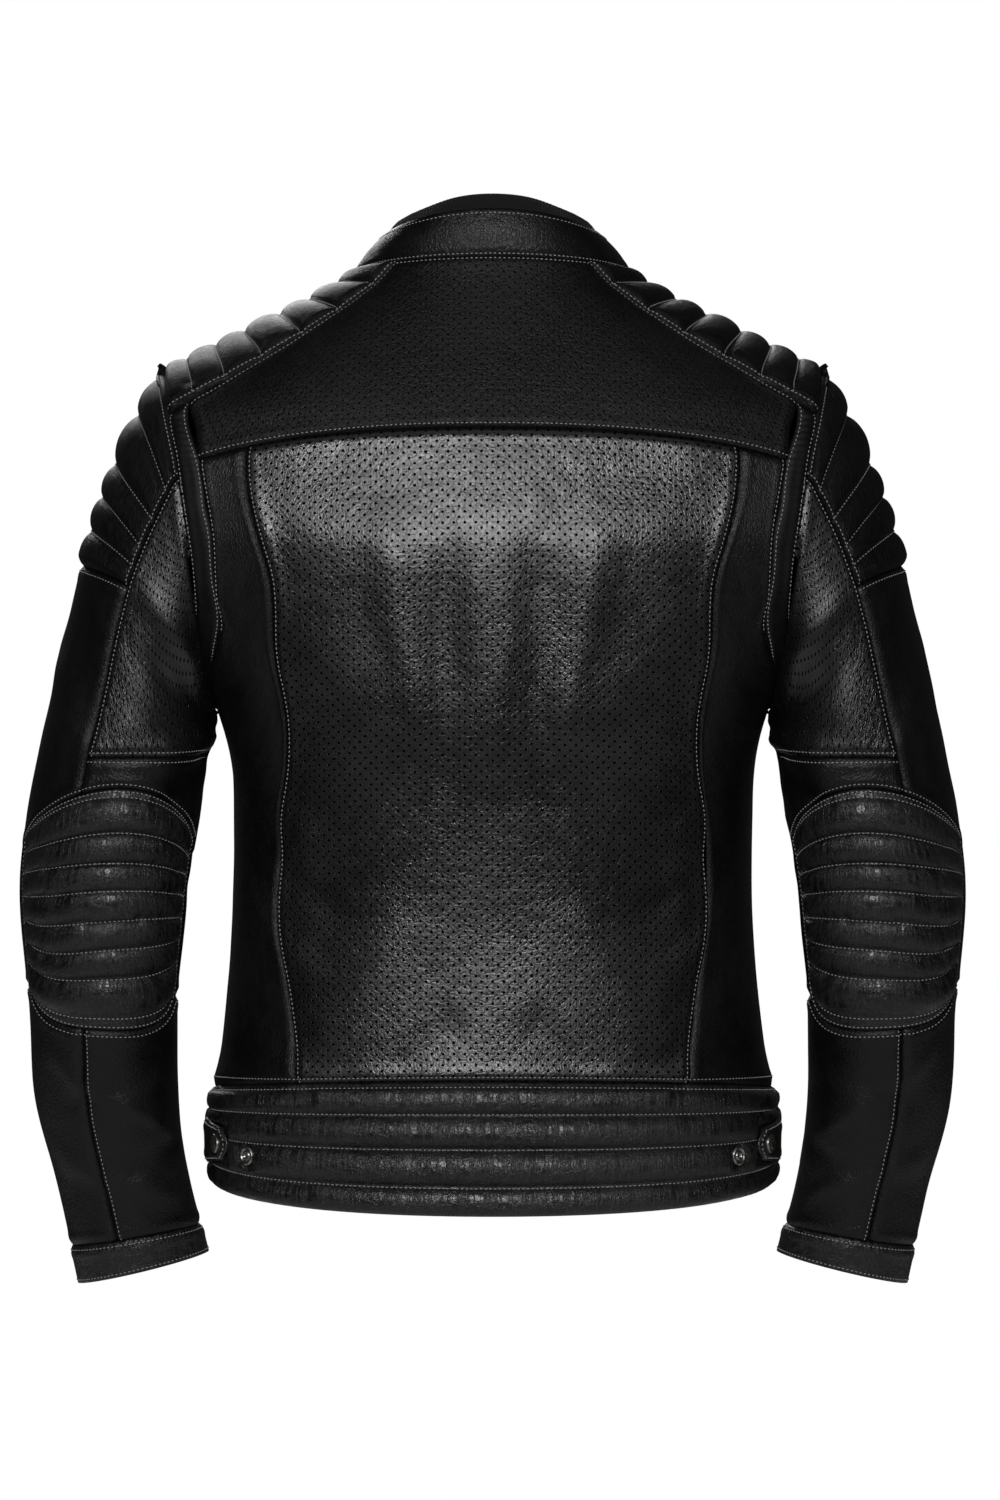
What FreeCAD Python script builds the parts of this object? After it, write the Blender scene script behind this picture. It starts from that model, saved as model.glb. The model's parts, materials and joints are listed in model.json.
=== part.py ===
import FreeCAD, Part
import Sketcher
import math
import os

# A leather riding jacket, empty and hanging, as if worn. Millimetres.
# +Z is up and the back faces +Y. The wearer's left is +X. The origin is the hang loop inside the back neck.

Vector = FreeCAD.Vector

# Torso sections: drop below the collar seam, half width, and where the back of the section lies in Y.
TORSO_SECTIONS = {
    "neck": (0, 80, 16),
    "slope": (24, 111, 24),
    "ridge": (58, 178, 38),
    "point": (86, 235, 50),
    "blade": (110, 266, 59),
    "yoke": (145, 278, 68),
    "chest": (200, 262, 78),
    "under": (260, 224, 76),
    "armpit": (322, 188, 72),
    "rib": (380, 179, 64),
    "waist": (460, 179.5, 60),
    "hip": (545, 187, 65),
    "band": (600, 197, 71),
    "hem": (665, 195, 75),
}

# Sleeve sections of the left arm: outer edge X and drop, inner edge X and drop, centre Y, half depth.
SLEEVE_SECTIONS = {
    "armhole": (228, 76, 190, 322, -40, 82),
    "cap": (258, 140, 192, 329, -39, 80),
    "biceps": (281, 205, 194.5, 341, -38, 77),
    "mid": (297, 274, 198.5, 363, -37, 74),
    "low": (311, 334, 203, 390, -36, 71),
    "fore": (322, 390, 208, 420, -35, 67),
    "elbow": (326.5, 441, 212.5, 459, -38, 63),
    "ulna": (321, 522, 218.5, 528, -60, 57),
    "forearm": (317.5, 590, 217.5, 594, -86, 53),
    "wrist": (303, 650, 211, 644, -106, 50),
    "cuff": (289, 718, 198.5, 696, -121, 48),
}

SIZES = {
    "leather": 2.6,
    "binding": 3.4,
    "knit": 3.0,
    "lining": 1.0,
    "lining_depth": 12.0,
    "sleeve_lining_depth": 5.0,
    "quilt_rise": 3.0,
    "pad_depth": 4.0,
    "pad_thickness": 4.6,
    "seam_gap": 1.2,
    "flatness": 0.25,
    "front_top": 136.0,
    "front_lean": 0.09,
    "armhole_top": 228.0,
    "armhole_bottom": 190.0,
    "armhole_clearance": 3.2,
    "elbow_clearance": 1.0,
    "crook_drop": 452.0,
    "elbow_back_drop": 368.0,
    "collar_height": 31.0,
    "collar_side_dip": 7.0,
    "collar_centre": 74.0,
    "collar_lean": 0.8,
    "knit_rise": 10.0,
    "zip_half": 8.0,
    "teeth_width": 6.0,
    "teeth_depth": 2.2,
    "slider_width": 11.0,
    "slider_length": 20.0,
    "slider_plate": 1.8,
    "slider_gap": 0.6,
    "slider_lug": 3.0,
    "pull_length": 34.0,
    "pull_width": 9.0,
    "pull_plate": 1.6,
    "snap_radius": 6.6,
    "snap_height": 2.6,
    "snap_rim": 1.2,
    "stud_outer": 6.8,
    "stud_inner": 3.4,
    "stud_height": 2.2,
    "loop_length": 44.0,
    "loop_strap": 8.0,
    "loop_plate": 2.0,
    "loop_reach": 8.0,
}


def write_sheet(doc):
    """Put every driving dimension in the sheet, each under a name of its own."""
    sheet = doc.addObject("Spreadsheet::Sheet", "Sizes")
    cells = dict(SIZES)
    for name, (drop, half, back) in TORSO_SECTIONS.items():
        cells[name + "_drop"] = drop
        cells[name + "_half"] = half
        cells[name + "_back"] = back
    for name, values in SLEEVE_SECTIONS.items():
        parts = ("out", "out_drop", "in", "in_drop", "centre", "depth")
        for part, value in zip(parts, values):
            cells["sleeve_" + name + "_" + part] = value
    for row, (alias, value) in enumerate(cells.items(), start=1):
        sheet.set("A%d" % row, alias)
        sheet.set("B%d" % row, str(value))
        sheet.setAlias("B%d" % row, alias)
    doc.recompute()
    return sheet


doc = FreeCAD.newDocument("riding_jacket")
sheet = write_sheet(doc)


def size(alias):
    return float(sheet.get(alias))


def smooth(knots, values, at):
    """A smooth curve through the values at increasing knots, which never swings past a level stretch."""
    if at <= knots[0]:
        return values[0]
    if at >= knots[-1]:
        return values[-1]
    last = len(knots) - 1
    k = max(i for i in range(last) if knots[i] <= at)
    span = knots[k + 1] - knots[k]

    def slope(i):
        low, high = max(i - 1, 0), min(i + 1, last)
        turns_back = (values[i] - values[low]) * (values[high] - values[i]) <= 0
        if turns_back and low < i < high:
            return 0.0
        return (values[high] - values[low]) / (knots[high] - knots[low])

    t = (at - knots[k]) / span
    rise = 3 * t * t - 2 * t * t * t
    start = t * (1 - t) * (1 - t) * span * slope(k)
    end = t * t * (1 - t) * span * slope(k + 1)
    return values[k] + (values[k + 1] - values[k]) * rise + start - end


def torso_column(part):
    return [size(name + part) for name in TORSO_SECTIONS]


def sleeve_column(part):
    return [size("sleeve_" + name + part) for name in SLEEVE_SECTIONS]


DROPS = torso_column("_drop")
HALVES = torso_column("_half")
BACKS = torso_column("_back")
RINGS = list(range(len(SLEEVE_SECTIONS)))
OUT_X = sleeve_column("_out")
OUT_Z = [-drop for drop in sleeve_column("_out_drop")]
IN_X = sleeve_column("_in")
IN_Z = [-drop for drop in sleeve_column("_in_drop")]
CENTRE_Y = sleeve_column("_centre")
DEPTH = sleeve_column("_depth")
FLATNESS = size("flatness")
GAP = size("seam_gap")


def half_width(z):
    return smooth(DROPS, HALVES, -z)


def front_line(z):
    """Y of the centre front, a straight line so that the main slider can run along it."""
    return -size("front_top") + size("front_lean") * z


def torso(angle, z):
    """A point of the body: 0 degrees is the centre back, 90 the left side and 180 the centre front."""
    back = smooth(DROPS, BACKS, -z)
    front = front_line(z)
    turn = math.radians(angle)
    across = math.cos(turn) * (1 + FLATNESS * math.sin(turn) ** 2)
    return Vector(half_width(z) * math.sin(turn), (back + front) / 2 + (back - front) / 2 * across, z)


def sleeve(angle, ring):
    """A point of the left sleeve: 0 degrees is the outer edge, 90 the back; ring counts down the arm."""
    outer = Vector(smooth(RINGS, OUT_X, ring), 0, smooth(RINGS, OUT_Z, ring))
    inner = Vector(smooth(RINGS, IN_X, ring), 0, smooth(RINGS, IN_Z, ring))
    turn = math.radians(angle)
    point = (outer + inner) * 0.5 + (outer - inner) * (0.5 * math.cos(turn))
    point.y = smooth(RINGS, CENTRE_Y, ring) + smooth(RINGS, DEPTH, ring) * math.sin(turn)
    return point


def neck_line(angle):
    """Z of the collar seam, lowest at the centre front."""
    side_drop, front_drop = 12.0, 50.0
    turn = abs(angle)
    if turn <= 90:
        return -side_drop * (1 - math.cos(math.radians(turn)))
    return -side_drop - front_drop * ((turn - 90) / 90) ** 1.5


def collar(angle, height):
    """The stand collar: height 0 is the collar seam and 1 the top edge of the leather."""
    base = torso(angle, neck_line(angle))
    centre = torso(0, 0).y - size("collar_centre")
    side = math.sin(math.radians(abs(angle))) ** 2
    lean = 1 - (1 - size("collar_lean")) * (0.5 + 0.5 * side)
    rise = size("collar_height") - size("collar_side_dip") * side
    top = Vector(base.x * lean, centre + (base.y - centre) * 0.95, base.z + rise)
    return base + (top - base) * height


def band_line(angle):
    """Z of the waistband seam."""
    return -565 - 11 * min(1, 1 - math.cos(math.radians(angle)))


def hem_line(angle):
    return -657 + 17 * min(1, 1 - math.cos(math.radians(angle)))


def back_at(x, z):
    """The angle at which the back of the body has this X."""
    return math.degrees(math.asin(max(-1, min(1, x / half_width(z)))))


def armhole_x(z):
    """X of the armhole plane, which leans in towards the armpit."""
    top, bottom = OUT_Z[0], IN_Z[0]
    share = (top - z) / (top - bottom)
    return size("armhole_top") + (size("armhole_bottom") - size("armhole_top")) * share


def armhole_angle(z):
    return back_at(armhole_x(z), z)


def along_armhole(low, high):
    """An edge up the back of the armhole."""
    steps = 5
    heights = [low + (high - low) * i / steps for i in range(steps + 1)]
    return curve(*[(armhole_angle(z), z) for z in heights])


def halve(low, high, inside):
    """The value between low and high where the test stops holding."""
    for _ in range(40):
        middle = (low + high) / 2
        if inside(middle):
            low = middle
        else:
            high = middle
    return low


def shoulder_edge(angle):
    """Z where the shoulder meets the armhole plane, over the top of the shoulder."""
    sine = math.sin(math.radians(angle))
    return halve(-40.0, -150.0, lambda z: half_width(z) * sine < armhole_x(z))


def elbow_ring(angle, lift):
    """Where the sleeve meets the slanted plane through the crook of the elbow."""
    crook = Vector(0, smooth(RINGS, CENTRE_Y, 6) - smooth(RINGS, DEPTH, 6), -size("crook_drop"))
    back_y = smooth(RINGS, CENTRE_Y, 5) + smooth(RINGS, DEPTH, 5)
    climb = (size("crook_drop") - size("elbow_back_drop")) / (back_y - crook.y)

    def above(ring):
        point = sleeve(angle, ring)
        return point.z > crook.z + climb * (point.y - crook.y) + lift

    return halve(2.0, 9.0, above)


def curve(*points):
    """A smooth edge through a few points of a surface's two coordinates, from 0 to 1."""
    knots = [i / (len(points) - 1) for i in range(len(points))]
    firsts = [p[0] for p in points]
    seconds = [p[1] for p in points]
    return lambda t: (smooth(knots, firsts, t), smooth(knots, seconds, t))


def along(function, start, end):
    """An edge that follows second = function(first) between two firsts."""
    return lambda t: (start + (end - start) * t, function(start + (end - start) * t))


def mirrored(edge):
    """The same edge on the other side of the body."""

    def place(t):
        first, second = edge(t)
        return -first, second

    return place


def patch(bottom, top, left, right):
    """A four-sided patch between four edges that share their corners."""

    def place(u, v):
        found = []
        for k in range(2):
            sides = (1 - u) * left(v)[k] + u * right(v)[k]
            ends = (1 - v) * bottom(u)[k] + v * top(u)[k]
            low = (1 - u) * left(0)[k] + u * right(0)[k]
            high = (1 - u) * left(1)[k] + u * right(1)[k]
            found.append(sides + ends - (1 - v) * low - v * high)
        return found

    return place


def ruled(bottom, top):
    """A patch whose sides are straight."""
    left = curve(bottom(0), top(0))
    right = curve(bottom(1), top(1))
    return patch(bottom, top, left, right)


def outward(surface, first, second):
    step = 0.01
    along_first = surface(first + step, second) - surface(first - step, second)
    along_second = surface(first, second + step) - surface(first, second - step)
    normal = along_second.cross(along_first)
    return normal.normalize()


def sheet_grid(surface, place, outset, counts, margins):
    """Points of a patch, pushed out along the surface's normals."""
    rows = []
    for i in range(counts[0]):
        u = margins[0] + (1 - 2 * margins[0]) * i / (counts[0] - 1)
        row = []
        for j in range(counts[1]):
            v = margins[1] + (1 - 2 * margins[1]) * j / (counts[1] - 1)
            first, second = place(u, v)
            row.append(surface(first, second) + outward(surface, first, second) * outset)
        rows.append(row)
    return rows


def patch_lengths(surface, place):
    """Lengths of the patch across its middle, both ways, to turn the seam gap into a share."""
    steps = 8
    across = [surface(*place(i / steps, 0.5)) for i in range(steps + 1)]
    upward = [surface(*place(0.5, i / steps)) for i in range(steps + 1)]
    lengths = []
    for points in (across, upward):
        lengths.append(sum((b - a).Length for a, b in zip(points, points[1:])))
    return lengths


def rim_face(first, second):
    """The narrow face between two edges that lie side by side, whichever way round they run."""
    straight = Part.makeRuledSurface(first.toShape(), second.toShape())
    flipped = second.copy()
    flipped.reverse()
    crossed = Part.makeRuledSurface(first.toShape(), flipped.toShape())
    return crossed if crossed.Area < 0.9 * straight.Area else straight


def skin_solid(surface, place, outset, thickness, counts):
    """A closed solid of even thickness between two fitted surfaces."""
    margins = [GAP / 2 / length for length in patch_lengths(surface, place)]
    outer = Part.BSplineSurface()
    outer.interpolate(sheet_grid(surface, place, outset, counts, margins))
    inner = Part.BSplineSurface()
    inner.interpolate(sheet_grid(surface, place, outset - thickness, counts, margins))
    faces = [outer.toShape(), inner.toShape()]
    u0, u1, v0, v1 = outer.bounds()
    faces += [rim_face(outer.uIso(value), inner.uIso(value)) for value in (u0, u1)]
    faces += [rim_face(outer.vIso(value), inner.vIso(value)) for value in (v0, v1)]
    shell = Part.Shell(faces)
    shell.sewShape()
    solid = Part.Solid(shell)
    if solid.Volume < 0:
        solid.reverse()
    return solid


subparts = []


def keep(feature, name):
    """Name a finished sub-part, so that it is checked and written."""
    feature.Label = name
    subparts.append(feature)
    return feature


def skin(name, surface, place, thickness, outset=0.0, counts=(9, 11)):
    """A sewn panel that follows the body or a sleeve."""
    feature = doc.addObject("Part::Feature", name)
    feature.Shape = skin_solid(surface, place, outset, thickness, counts)
    feature.Placement = FreeCAD.Placement()
    return keep(feature, name)


def mirror(source, name):
    """The wearer's right-hand copy of a left-hand piece."""
    copy = doc.addObject("Part::Mirroring", name)
    copy.Source = source
    copy.Normal = Vector(1, 0, 0)
    return keep(copy, name)


def pair(name, *arguments, **options):
    """The same panel on both sides."""
    left = skin(name + "_L", *arguments, **options)
    mirror(left, name + "_R")
    return left


# ---------------------------------------------------------------- body panels

LEATHER = size("leather")
SHOULDER_BACK = 57.0
SHOULDER_FRONT = 123.0
NECK_BACK = 50.0
NECK_FRONT = 128.0
GUSSET_LOW = -262.0
YOKE_SIDE = -138.0
YOKE_NECK_SHARE = 0.42
FRONT_ARM_TOP = -110.0
SHOULDER_SEAM = ((50.5, -82.0), (48.8, -45.0))
FRONT_SPLIT = 140.0
FRONT_SEAM_POINTS = ((143, -450), (142, -300), (141, -180), (136, -90))
SHOULDER_FRONT_SEAM = ((130.5, -50.0), (129.5, -80.0))
PANEL_SEAM = ((168, -131), (155.5, -209), (147, -290), (145, -380), (148, -440), (141, -505), (135, -571))


def gusset_x(z):
    """X of the inner edge of the stretch gusset beside the armhole."""
    return armhole_x(z) - 17 + 7 * max(0, (-z - 200) / 62)


def seam_edge(points):
    """An edge down the back through points given as X and Z."""
    return curve(*[(back_at(x, z), z) for x, z in points])


def yoke_line(angle):
    """Z of the yoke seam, which drops towards the armholes."""
    return -118 - 20 * (abs(angle) / 44) ** 2.4


def gusset_edge(low, high, steps, shift=0.0):
    """Points up the inner edge of the gusset, moved outwards by the shift."""
    heights = [low + (high - low) * i / steps for i in range(steps + 1)]
    return [(back_at(gusset_x(z) + shift, z), z) for z in heights]


def shoulder_back_edge():
    """The seam over the back of the shoulder, from the collar to the armhole."""
    neck = (NECK_BACK, neck_line(NECK_BACK))
    arm = (SHOULDER_BACK, shoulder_edge(SHOULDER_BACK))
    return curve(neck, *reversed(SHOULDER_SEAM), arm)


def gusset_share():
    """The share of the shoulder seam at which the gusset begins."""
    seam = shoulder_back_edge()

    def inside(t):
        first, second = seam(t)
        return torso(first, second).x < gusset_x(second)

    return halve(0.5, 1.0, inside)


def build_back():
    seam = seam_edge(tuple(reversed(PANEL_SEAM)))
    seam_low = seam(0)[0]
    seam_high = seam(1)[0]
    top = along(yoke_line, -seam_high, seam_high)
    low = along(band_line, -seam_low, seam_low)
    skin("back_panel", torso, patch(low, top, mirrored(seam), seam), LEATHER, counts=(15, 17))

    wide = back_at(gusset_x(YOKE_SIDE), YOKE_SIDE)
    edge_points = [(90, band_line(90)), (90, -460), (90, -380), (86, -318)]
    edge_points += gusset_edge(GUSSET_LOW, YOKE_SIDE, 4)[:-1] + [(wide, yoke_line(wide))]
    side_low = along(band_line, seam_low, 90)
    side_top = along(yoke_line, seam_high, wide)
    pair("side_back", torso, patch(side_low, side_top, seam, curve(*edge_points)), LEATHER, counts=(9, 21))


def build_yoke_and_gusset():
    share = gusset_share()
    seam = shoulder_back_edge()
    corner = seam(share)
    inner = curve(*gusset_edge(GUSSET_LOW, corner[1], 5, shift=GAP))
    outer = along_armhole(GUSSET_LOW, shoulder_edge(SHOULDER_BACK))
    low = curve(inner(0), outer(0))
    top = curve(inner(1), seam((1 + share) / 2), outer(1))
    pair("gusset", torso, patch(low, top, inner, outer), LEATHER, counts=(5, 11))

    wide = back_at(gusset_x(YOKE_SIDE), YOKE_SIDE)
    right = curve((wide, yoke_line(wide)), *gusset_edge(YOKE_SIDE, corner[1], 2)[1:])

    def top_edge(t):
        """From one gusset over the shoulder seams and the collar seam to the other gusset."""
        turn = 2 * t - 1
        side = 1 if turn >= 0 else -1
        if abs(turn) < YOKE_NECK_SHARE:
            angle = NECK_BACK * turn / YOKE_NECK_SHARE
            return angle, neck_line(angle)
        first, second = seam(share * (abs(turn) - YOKE_NECK_SHARE) / (1 - YOKE_NECK_SHARE))
        return side * first, second

    low_edge = along(yoke_line, -wide, wide)
    skin("back_yoke", torso, patch(low_edge, top_edge, mirrored(right), right), LEATHER, counts=(31, 9))


def build_shoulders():
    """The quilted shoulder panels, from the collar seam over the shoulder to the armhole."""
    neck = along(neck_line, NECK_BACK, NECK_FRONT)
    arm = along(shoulder_edge, SHOULDER_BACK, SHOULDER_FRONT)
    back = shoulder_back_edge()
    front = curve(neck(1), *SHOULDER_FRONT_SEAM, arm(1))
    rise = size("quilt_rise")
    place = patch(neck, arm, back, front)
    pair("shoulder_quilt", torso, place, LEATHER + rise, outset=rise, counts=(11, 9))


def build_front():
    """Two panels on each side of the main zip, both running up to the collar and shoulder seams."""
    edge = math.degrees(math.asin(size("zip_half") / half_width(-300)))
    zip_edge = 180 - edge
    neck_corner = (NECK_FRONT, neck_line(NECK_FRONT))
    split = curve((FRONT_SPLIT, band_line(FRONT_SPLIT)), *FRONT_SEAM_POINTS, neck_corner)
    low = along(band_line, FRONT_SPLIT, zip_edge)
    top = along(neck_line, NECK_FRONT, zip_edge)
    right = curve((zip_edge, band_line(zip_edge)), (zip_edge, neck_line(zip_edge)))
    pair("front_panel", torso, patch(low, top, split, right), LEATHER, counts=(9, 17))
    heights = (-300.0, -255.0, -200.0, -160.0, FRONT_ARM_TOP)
    arm_points = [(180 - armhole_angle(z), z) for z in heights]
    outer = curve((90, band_line(90)), (90, -460), (90, -380), *arm_points)
    side_top = curve(arm_points[-1], *reversed(SHOULDER_FRONT_SEAM), neck_corner)
    side_low = along(band_line, 90, FRONT_SPLIT)
    pair("front_side", torso, patch(side_low, side_top, outer, split), LEATHER, counts=(11, 21))


BAND_OUTSET = 0.6


def build_waistband():
    depth = size("binding")
    back = ruled(along(hem_line, -88, 88), along(band_line, -88, 88))
    skin("waistband_back", torso, back, depth, outset=BAND_OUTSET, counts=(19, 5))
    front = ruled(along(hem_line, 90, 175.5), along(band_line, 90, 175.5))
    pair("waistband_front", torso, front, depth, outset=BAND_OUTSET, counts=(11, 5))


def build_collar():
    end = 170.0
    foot = 0.1
    shell = ruled(curve((-end, foot), (end, foot)), curve((-end, 1), (end, 1)))
    skin("collar_shell", collar, shell, LEATHER, counts=(31, 4))
    tall = 1 + size("knit_rise") / size("collar_height")
    liner = ruled(curve((-end, foot), (end, foot)), curve((-end, tall), (end, tall)))
    skin("collar_liner", collar, liner, size("knit"), outset=-LEATHER - 0.4, counts=(31, 4))


def build_lining():
    depth = size("lining_depth")
    thickness = size("lining")
    back = ruled(curve((-76, -630), (76, -630)), curve((-44, -150), (44, -150)))
    skin("lining_back", torso, back, thickness, outset=-depth, counts=(13, 21))
    front = ruled(curve((104, -630), (174, -630)), curve((137, -150), (174, -150)))
    pair("lining_front", torso, front, thickness, outset=-depth, counts=(7, 21))
    pad = ruled(curve((-26, -520), (26, -520)), curve((-24, -150), (24, -150)))
    skin("back_protector", torso, pad, size("pad_thickness"), outset=-size("pad_depth"), counts=(9, 21))


# ---------------------------------------------------------------- sleeves

BACK_SEAM = 66.0
UNDER_SEAM = 176.0
FRONT_SEAM = -62.0
CAP_END = 2.15


def armhole_ring(angle):
    """Where the sleeve starts, clear of the armhole plane."""
    normal = Vector(OUT_Z[0] - IN_Z[0], 0, IN_X[0] - OUT_X[0]).normalize()
    origin = Vector(OUT_X[0], 0, OUT_Z[0])

    def near(ring):
        return (sleeve(angle, ring) - origin).dot(normal) < size("armhole_clearance")

    return halve(0.0, 3.0, near)


def build_upper_sleeve():
    rise = size("quilt_rise")
    lift = size("elbow_clearance")

    def elbow_top(angle):
        return elbow_ring(angle, lift)

    def cap_end(angle):
        return CAP_END - 0.5 * (abs(angle) / BACK_SEAM) ** 2

    start, end = FRONT_SEAM, BACK_SEAM
    cap = ruled(along(armhole_ring, start, end), along(cap_end, start, end))
    pair("sleeve_cap", sleeve, cap, LEATHER + rise, outset=rise, counts=(11, 7))
    outer = ruled(along(cap_end, start, end), along(elbow_top, start, end))
    pair("sleeve_outer", sleeve, outer, LEATHER, counts=(11, 9))
    back = ruled(along(armhole_ring, BACK_SEAM, UNDER_SEAM), along(elbow_top, BACK_SEAM, UNDER_SEAM))
    pair("sleeve_back", sleeve, back, LEATHER, counts=(11, 11))
    under_end = 360 + FRONT_SEAM
    under = ruled(along(armhole_ring, UNDER_SEAM, under_end), along(elbow_top, UNDER_SEAM, under_end))
    pair("sleeve_under", sleeve, under, LEATHER, counts=(11, 11))

    def lining_top(angle):
        return armhole_ring(angle) + 0.25

    def lining_end(angle):
        return elbow_top(angle) - 0.3

    tube = ruled(along(lining_top, -179, 179), along(lining_end, -179, 179))
    depth = size("sleeve_lining_depth")
    pair("sleeve_lining", sleeve, tube, size("lining"), outset=-depth, counts=(25, 9))


ELBOW_START = 14.0
ELBOW_END = 168.0
PATCH_END = 7.15
CROOK_END = 6.8
CUFF_START = 9.62
CUFF_END = 10.0
PAD_GAP = 2.2
FOREARM_SEAM = 75.0
FOREARM_FRONT = -110.0


def build_forearm():
    rise = size("quilt_rise")

    def elbow_low(angle):
        return elbow_ring(angle, -size("elbow_clearance"))

    def patch_end(angle):
        middle = (ELBOW_START + ELBOW_END) / 2
        return PATCH_END - (PATCH_END - CROOK_END) * (abs(angle - middle) / (ELBOW_END - middle)) ** 3

    pad = ruled(along(elbow_low, ELBOW_START, ELBOW_END), along(patch_end, ELBOW_START, ELBOW_END))
    pair("elbow_patch", sleeve, pad, LEATHER + rise, outset=rise, counts=(17, 9))

    crook_start, crook_end = ELBOW_END + PAD_GAP - 360, ELBOW_START - PAD_GAP
    crook_low = curve((crook_start, CROOK_END), (crook_end, CROOK_END))
    crook = ruled(along(elbow_low, crook_start, crook_end), crook_low)
    pair("forearm_crook", sleeve, crook, LEATHER, counts=(23, 9))

    def below_elbow(angle):
        """The seam under the elbow patch and the crook."""
        return patch_end(angle) if ELBOW_START < angle < ELBOW_END else CROOK_END

    outer_low = curve((FOREARM_FRONT, CUFF_START), (FOREARM_SEAM, CUFF_START))
    outer_top = along(below_elbow, FOREARM_FRONT, FOREARM_SEAM)
    pair("forearm_outer", sleeve, ruled(outer_top, outer_low), LEATHER, counts=(23, 9))
    inner_low = curve((FOREARM_SEAM, CUFF_START), (FOREARM_FRONT + 360, CUFF_START))
    inner_top = along(below_elbow, FOREARM_SEAM, FOREARM_FRONT + 360)
    pair("forearm_inner", sleeve, ruled(inner_top, inner_low), LEATHER, counts=(23, 9))
    band_end = FOREARM_FRONT + 356
    band_top = curve((FOREARM_FRONT, CUFF_START), (band_end, CUFF_START))
    band = ruled(band_top, curve((FOREARM_FRONT, CUFF_END), (band_end, CUFF_END)))
    pair("cuff_band", sleeve, band, size("binding"), outset=BAND_OUTSET, counts=(25, 4))


# ---------------------------------------------------------------- zips, snaps and the hang loop


def bind(feature, **cells):
    """Tie properties of a feature to cells of the sheet."""
    for prop, expression in cells.items():
        feature.setExpression(prop, expression)
    return feature


def box(name, length, width, height, corner):
    """A Part box whose sides are expressions on the sheet."""
    made = doc.addObject("Part::Box", name)
    bind(made, Length=length, Width=width, Height=height)
    made.Placement = FreeCAD.Placement(Vector(*corner), FreeCAD.Rotation())
    return made


def fuse(name, *features):
    made = doc.addObject("Part::MultiFuse", name)
    made.Shapes = list(features)
    return made


def frame(point, up, out):
    """A placement whose local Z runs up the piece and whose local Y points away from the jacket."""
    side = out.cross(up).normalize()
    out = up.cross(side).normalize()
    up = Vector(up).normalize()
    turn = FreeCAD.Matrix(side.x, out.x, up.x, 0, side.y, out.y, up.y, 0, side.z, out.z, up.z, 0, 0, 0, 0, 1)
    return FreeCAD.Placement(point, FreeCAD.Placement(turn).Rotation)


def sketch_body(name, plane):
    """A PartDesign body with one sketch on one of its own origin planes."""
    body = doc.addObject("PartDesign::Body", name)
    sketch = body.newObject("Sketcher::SketchObject", name + "_outline")
    origin = next(o for o in body.Origin.OriginFeatures if o.Role == plane)
    sketch.AttachmentSupport = [(origin, "")]
    sketch.MapMode = "FlatFace"
    return body, sketch


def close_outline(sketch, points):
    """Lines through the points in turn, joined at their ends."""
    count = len(points)
    for start, end in zip(points, points[1:] + points[:1]):
        sketch.addGeometry(Part.LineSegment(Vector(*start, 0), Vector(*end, 0)), False)
    for i in range(count):
        sketch.addConstraint(Sketcher.Constraint("Coincident", i, 2, (i + 1) % count, 1))


CROWN_SHARE = 0.72


def turned(name, inner, outer, height, rim):
    """A small round metal fitting, turned about its own Y axis and standing on its base."""
    body, sketch = sketch_body(name, "XY_Plane")
    bore = size(inner) if inner else 0.0
    radius, base, top = size(outer), size(rim), size(height)
    points = [(bore, 0), (radius, 0), (radius, base), (radius * CROWN_SHARE, top), (bore, top)]
    close_outline(sketch, points)
    sketch.addConstraint(Sketcher.Constraint("Horizontal", 0))
    sketch.addConstraint(Sketcher.Constraint("Vertical", 1))
    sketch.addConstraint(Sketcher.Constraint("Horizontal", 3))
    sketch.addConstraint(Sketcher.Constraint("DistanceX", -1, 1, 0, 2, radius))
    sketch.setExpression("Constraints[%d]" % (sketch.ConstraintCount - 1), "Sizes." + outer)
    sketch.addConstraint(Sketcher.Constraint("DistanceY", -1, 1, 3, 1, top))
    sketch.setExpression("Constraints[%d]" % (sketch.ConstraintCount - 1), "Sizes." + height)
    revolution = body.newObject("PartDesign::Revolution", name + "_turn")
    revolution.Profile = sketch
    axis = next(o for o in body.Origin.OriginFeatures if o.Role == "Y_Axis")
    revolution.ReferenceAxis = (axis, [""])
    revolution.Angle = 360
    body.Tip = revolution
    return body


def on_torso(angle, z, lift):
    """A placement standing off the body, with local Y along its normal."""
    out = outward(torso, angle, z)
    up = torso(angle, z + 1) - torso(angle, z - 1)
    return frame(torso(angle, z) + out * lift, up, out)


def place_pair(make, name, placement):
    """Make a left piece, put it in place and mirror it."""
    left = make(name + "_L")
    left.Placement = placement
    doc.recompute()
    keep(left, name + "_L")
    mirror(left, name + "_R")


TAB_OUTSET = 3.4
SNAP_SEAT = 0.1
TAB_Z = -613.0


def build_waist_fittings():
    tab = ruled(curve((68, -623), (86, -630)), curve((68, -603), (86, -596)))
    pair("waist_tab", torso, tab, TAB_OUTSET - BAND_OUTSET - 0.4, outset=TAB_OUTSET, counts=(7, 5))

    def cap(name):
        return turned(name, None, "snap_radius", "snap_height", "snap_rim")

    def ring(name):
        return turned(name, "stud_inner", "stud_outer", "stud_height", "snap_rim")

    place_pair(cap, "waist_tab_snap", on_torso(72.5, TAB_Z, TAB_OUTSET + SNAP_SEAT))
    place_pair(ring, "waist_ring_stud", on_torso(58.5, -619.0, BAND_OUTSET + SNAP_SEAT))


def straight_zip(start, end, out, lift):
    """The placement and length of a zip that lies along a chord of the surface."""
    up = start - end
    return frame(end + out * lift, up, out), up.Length


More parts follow.
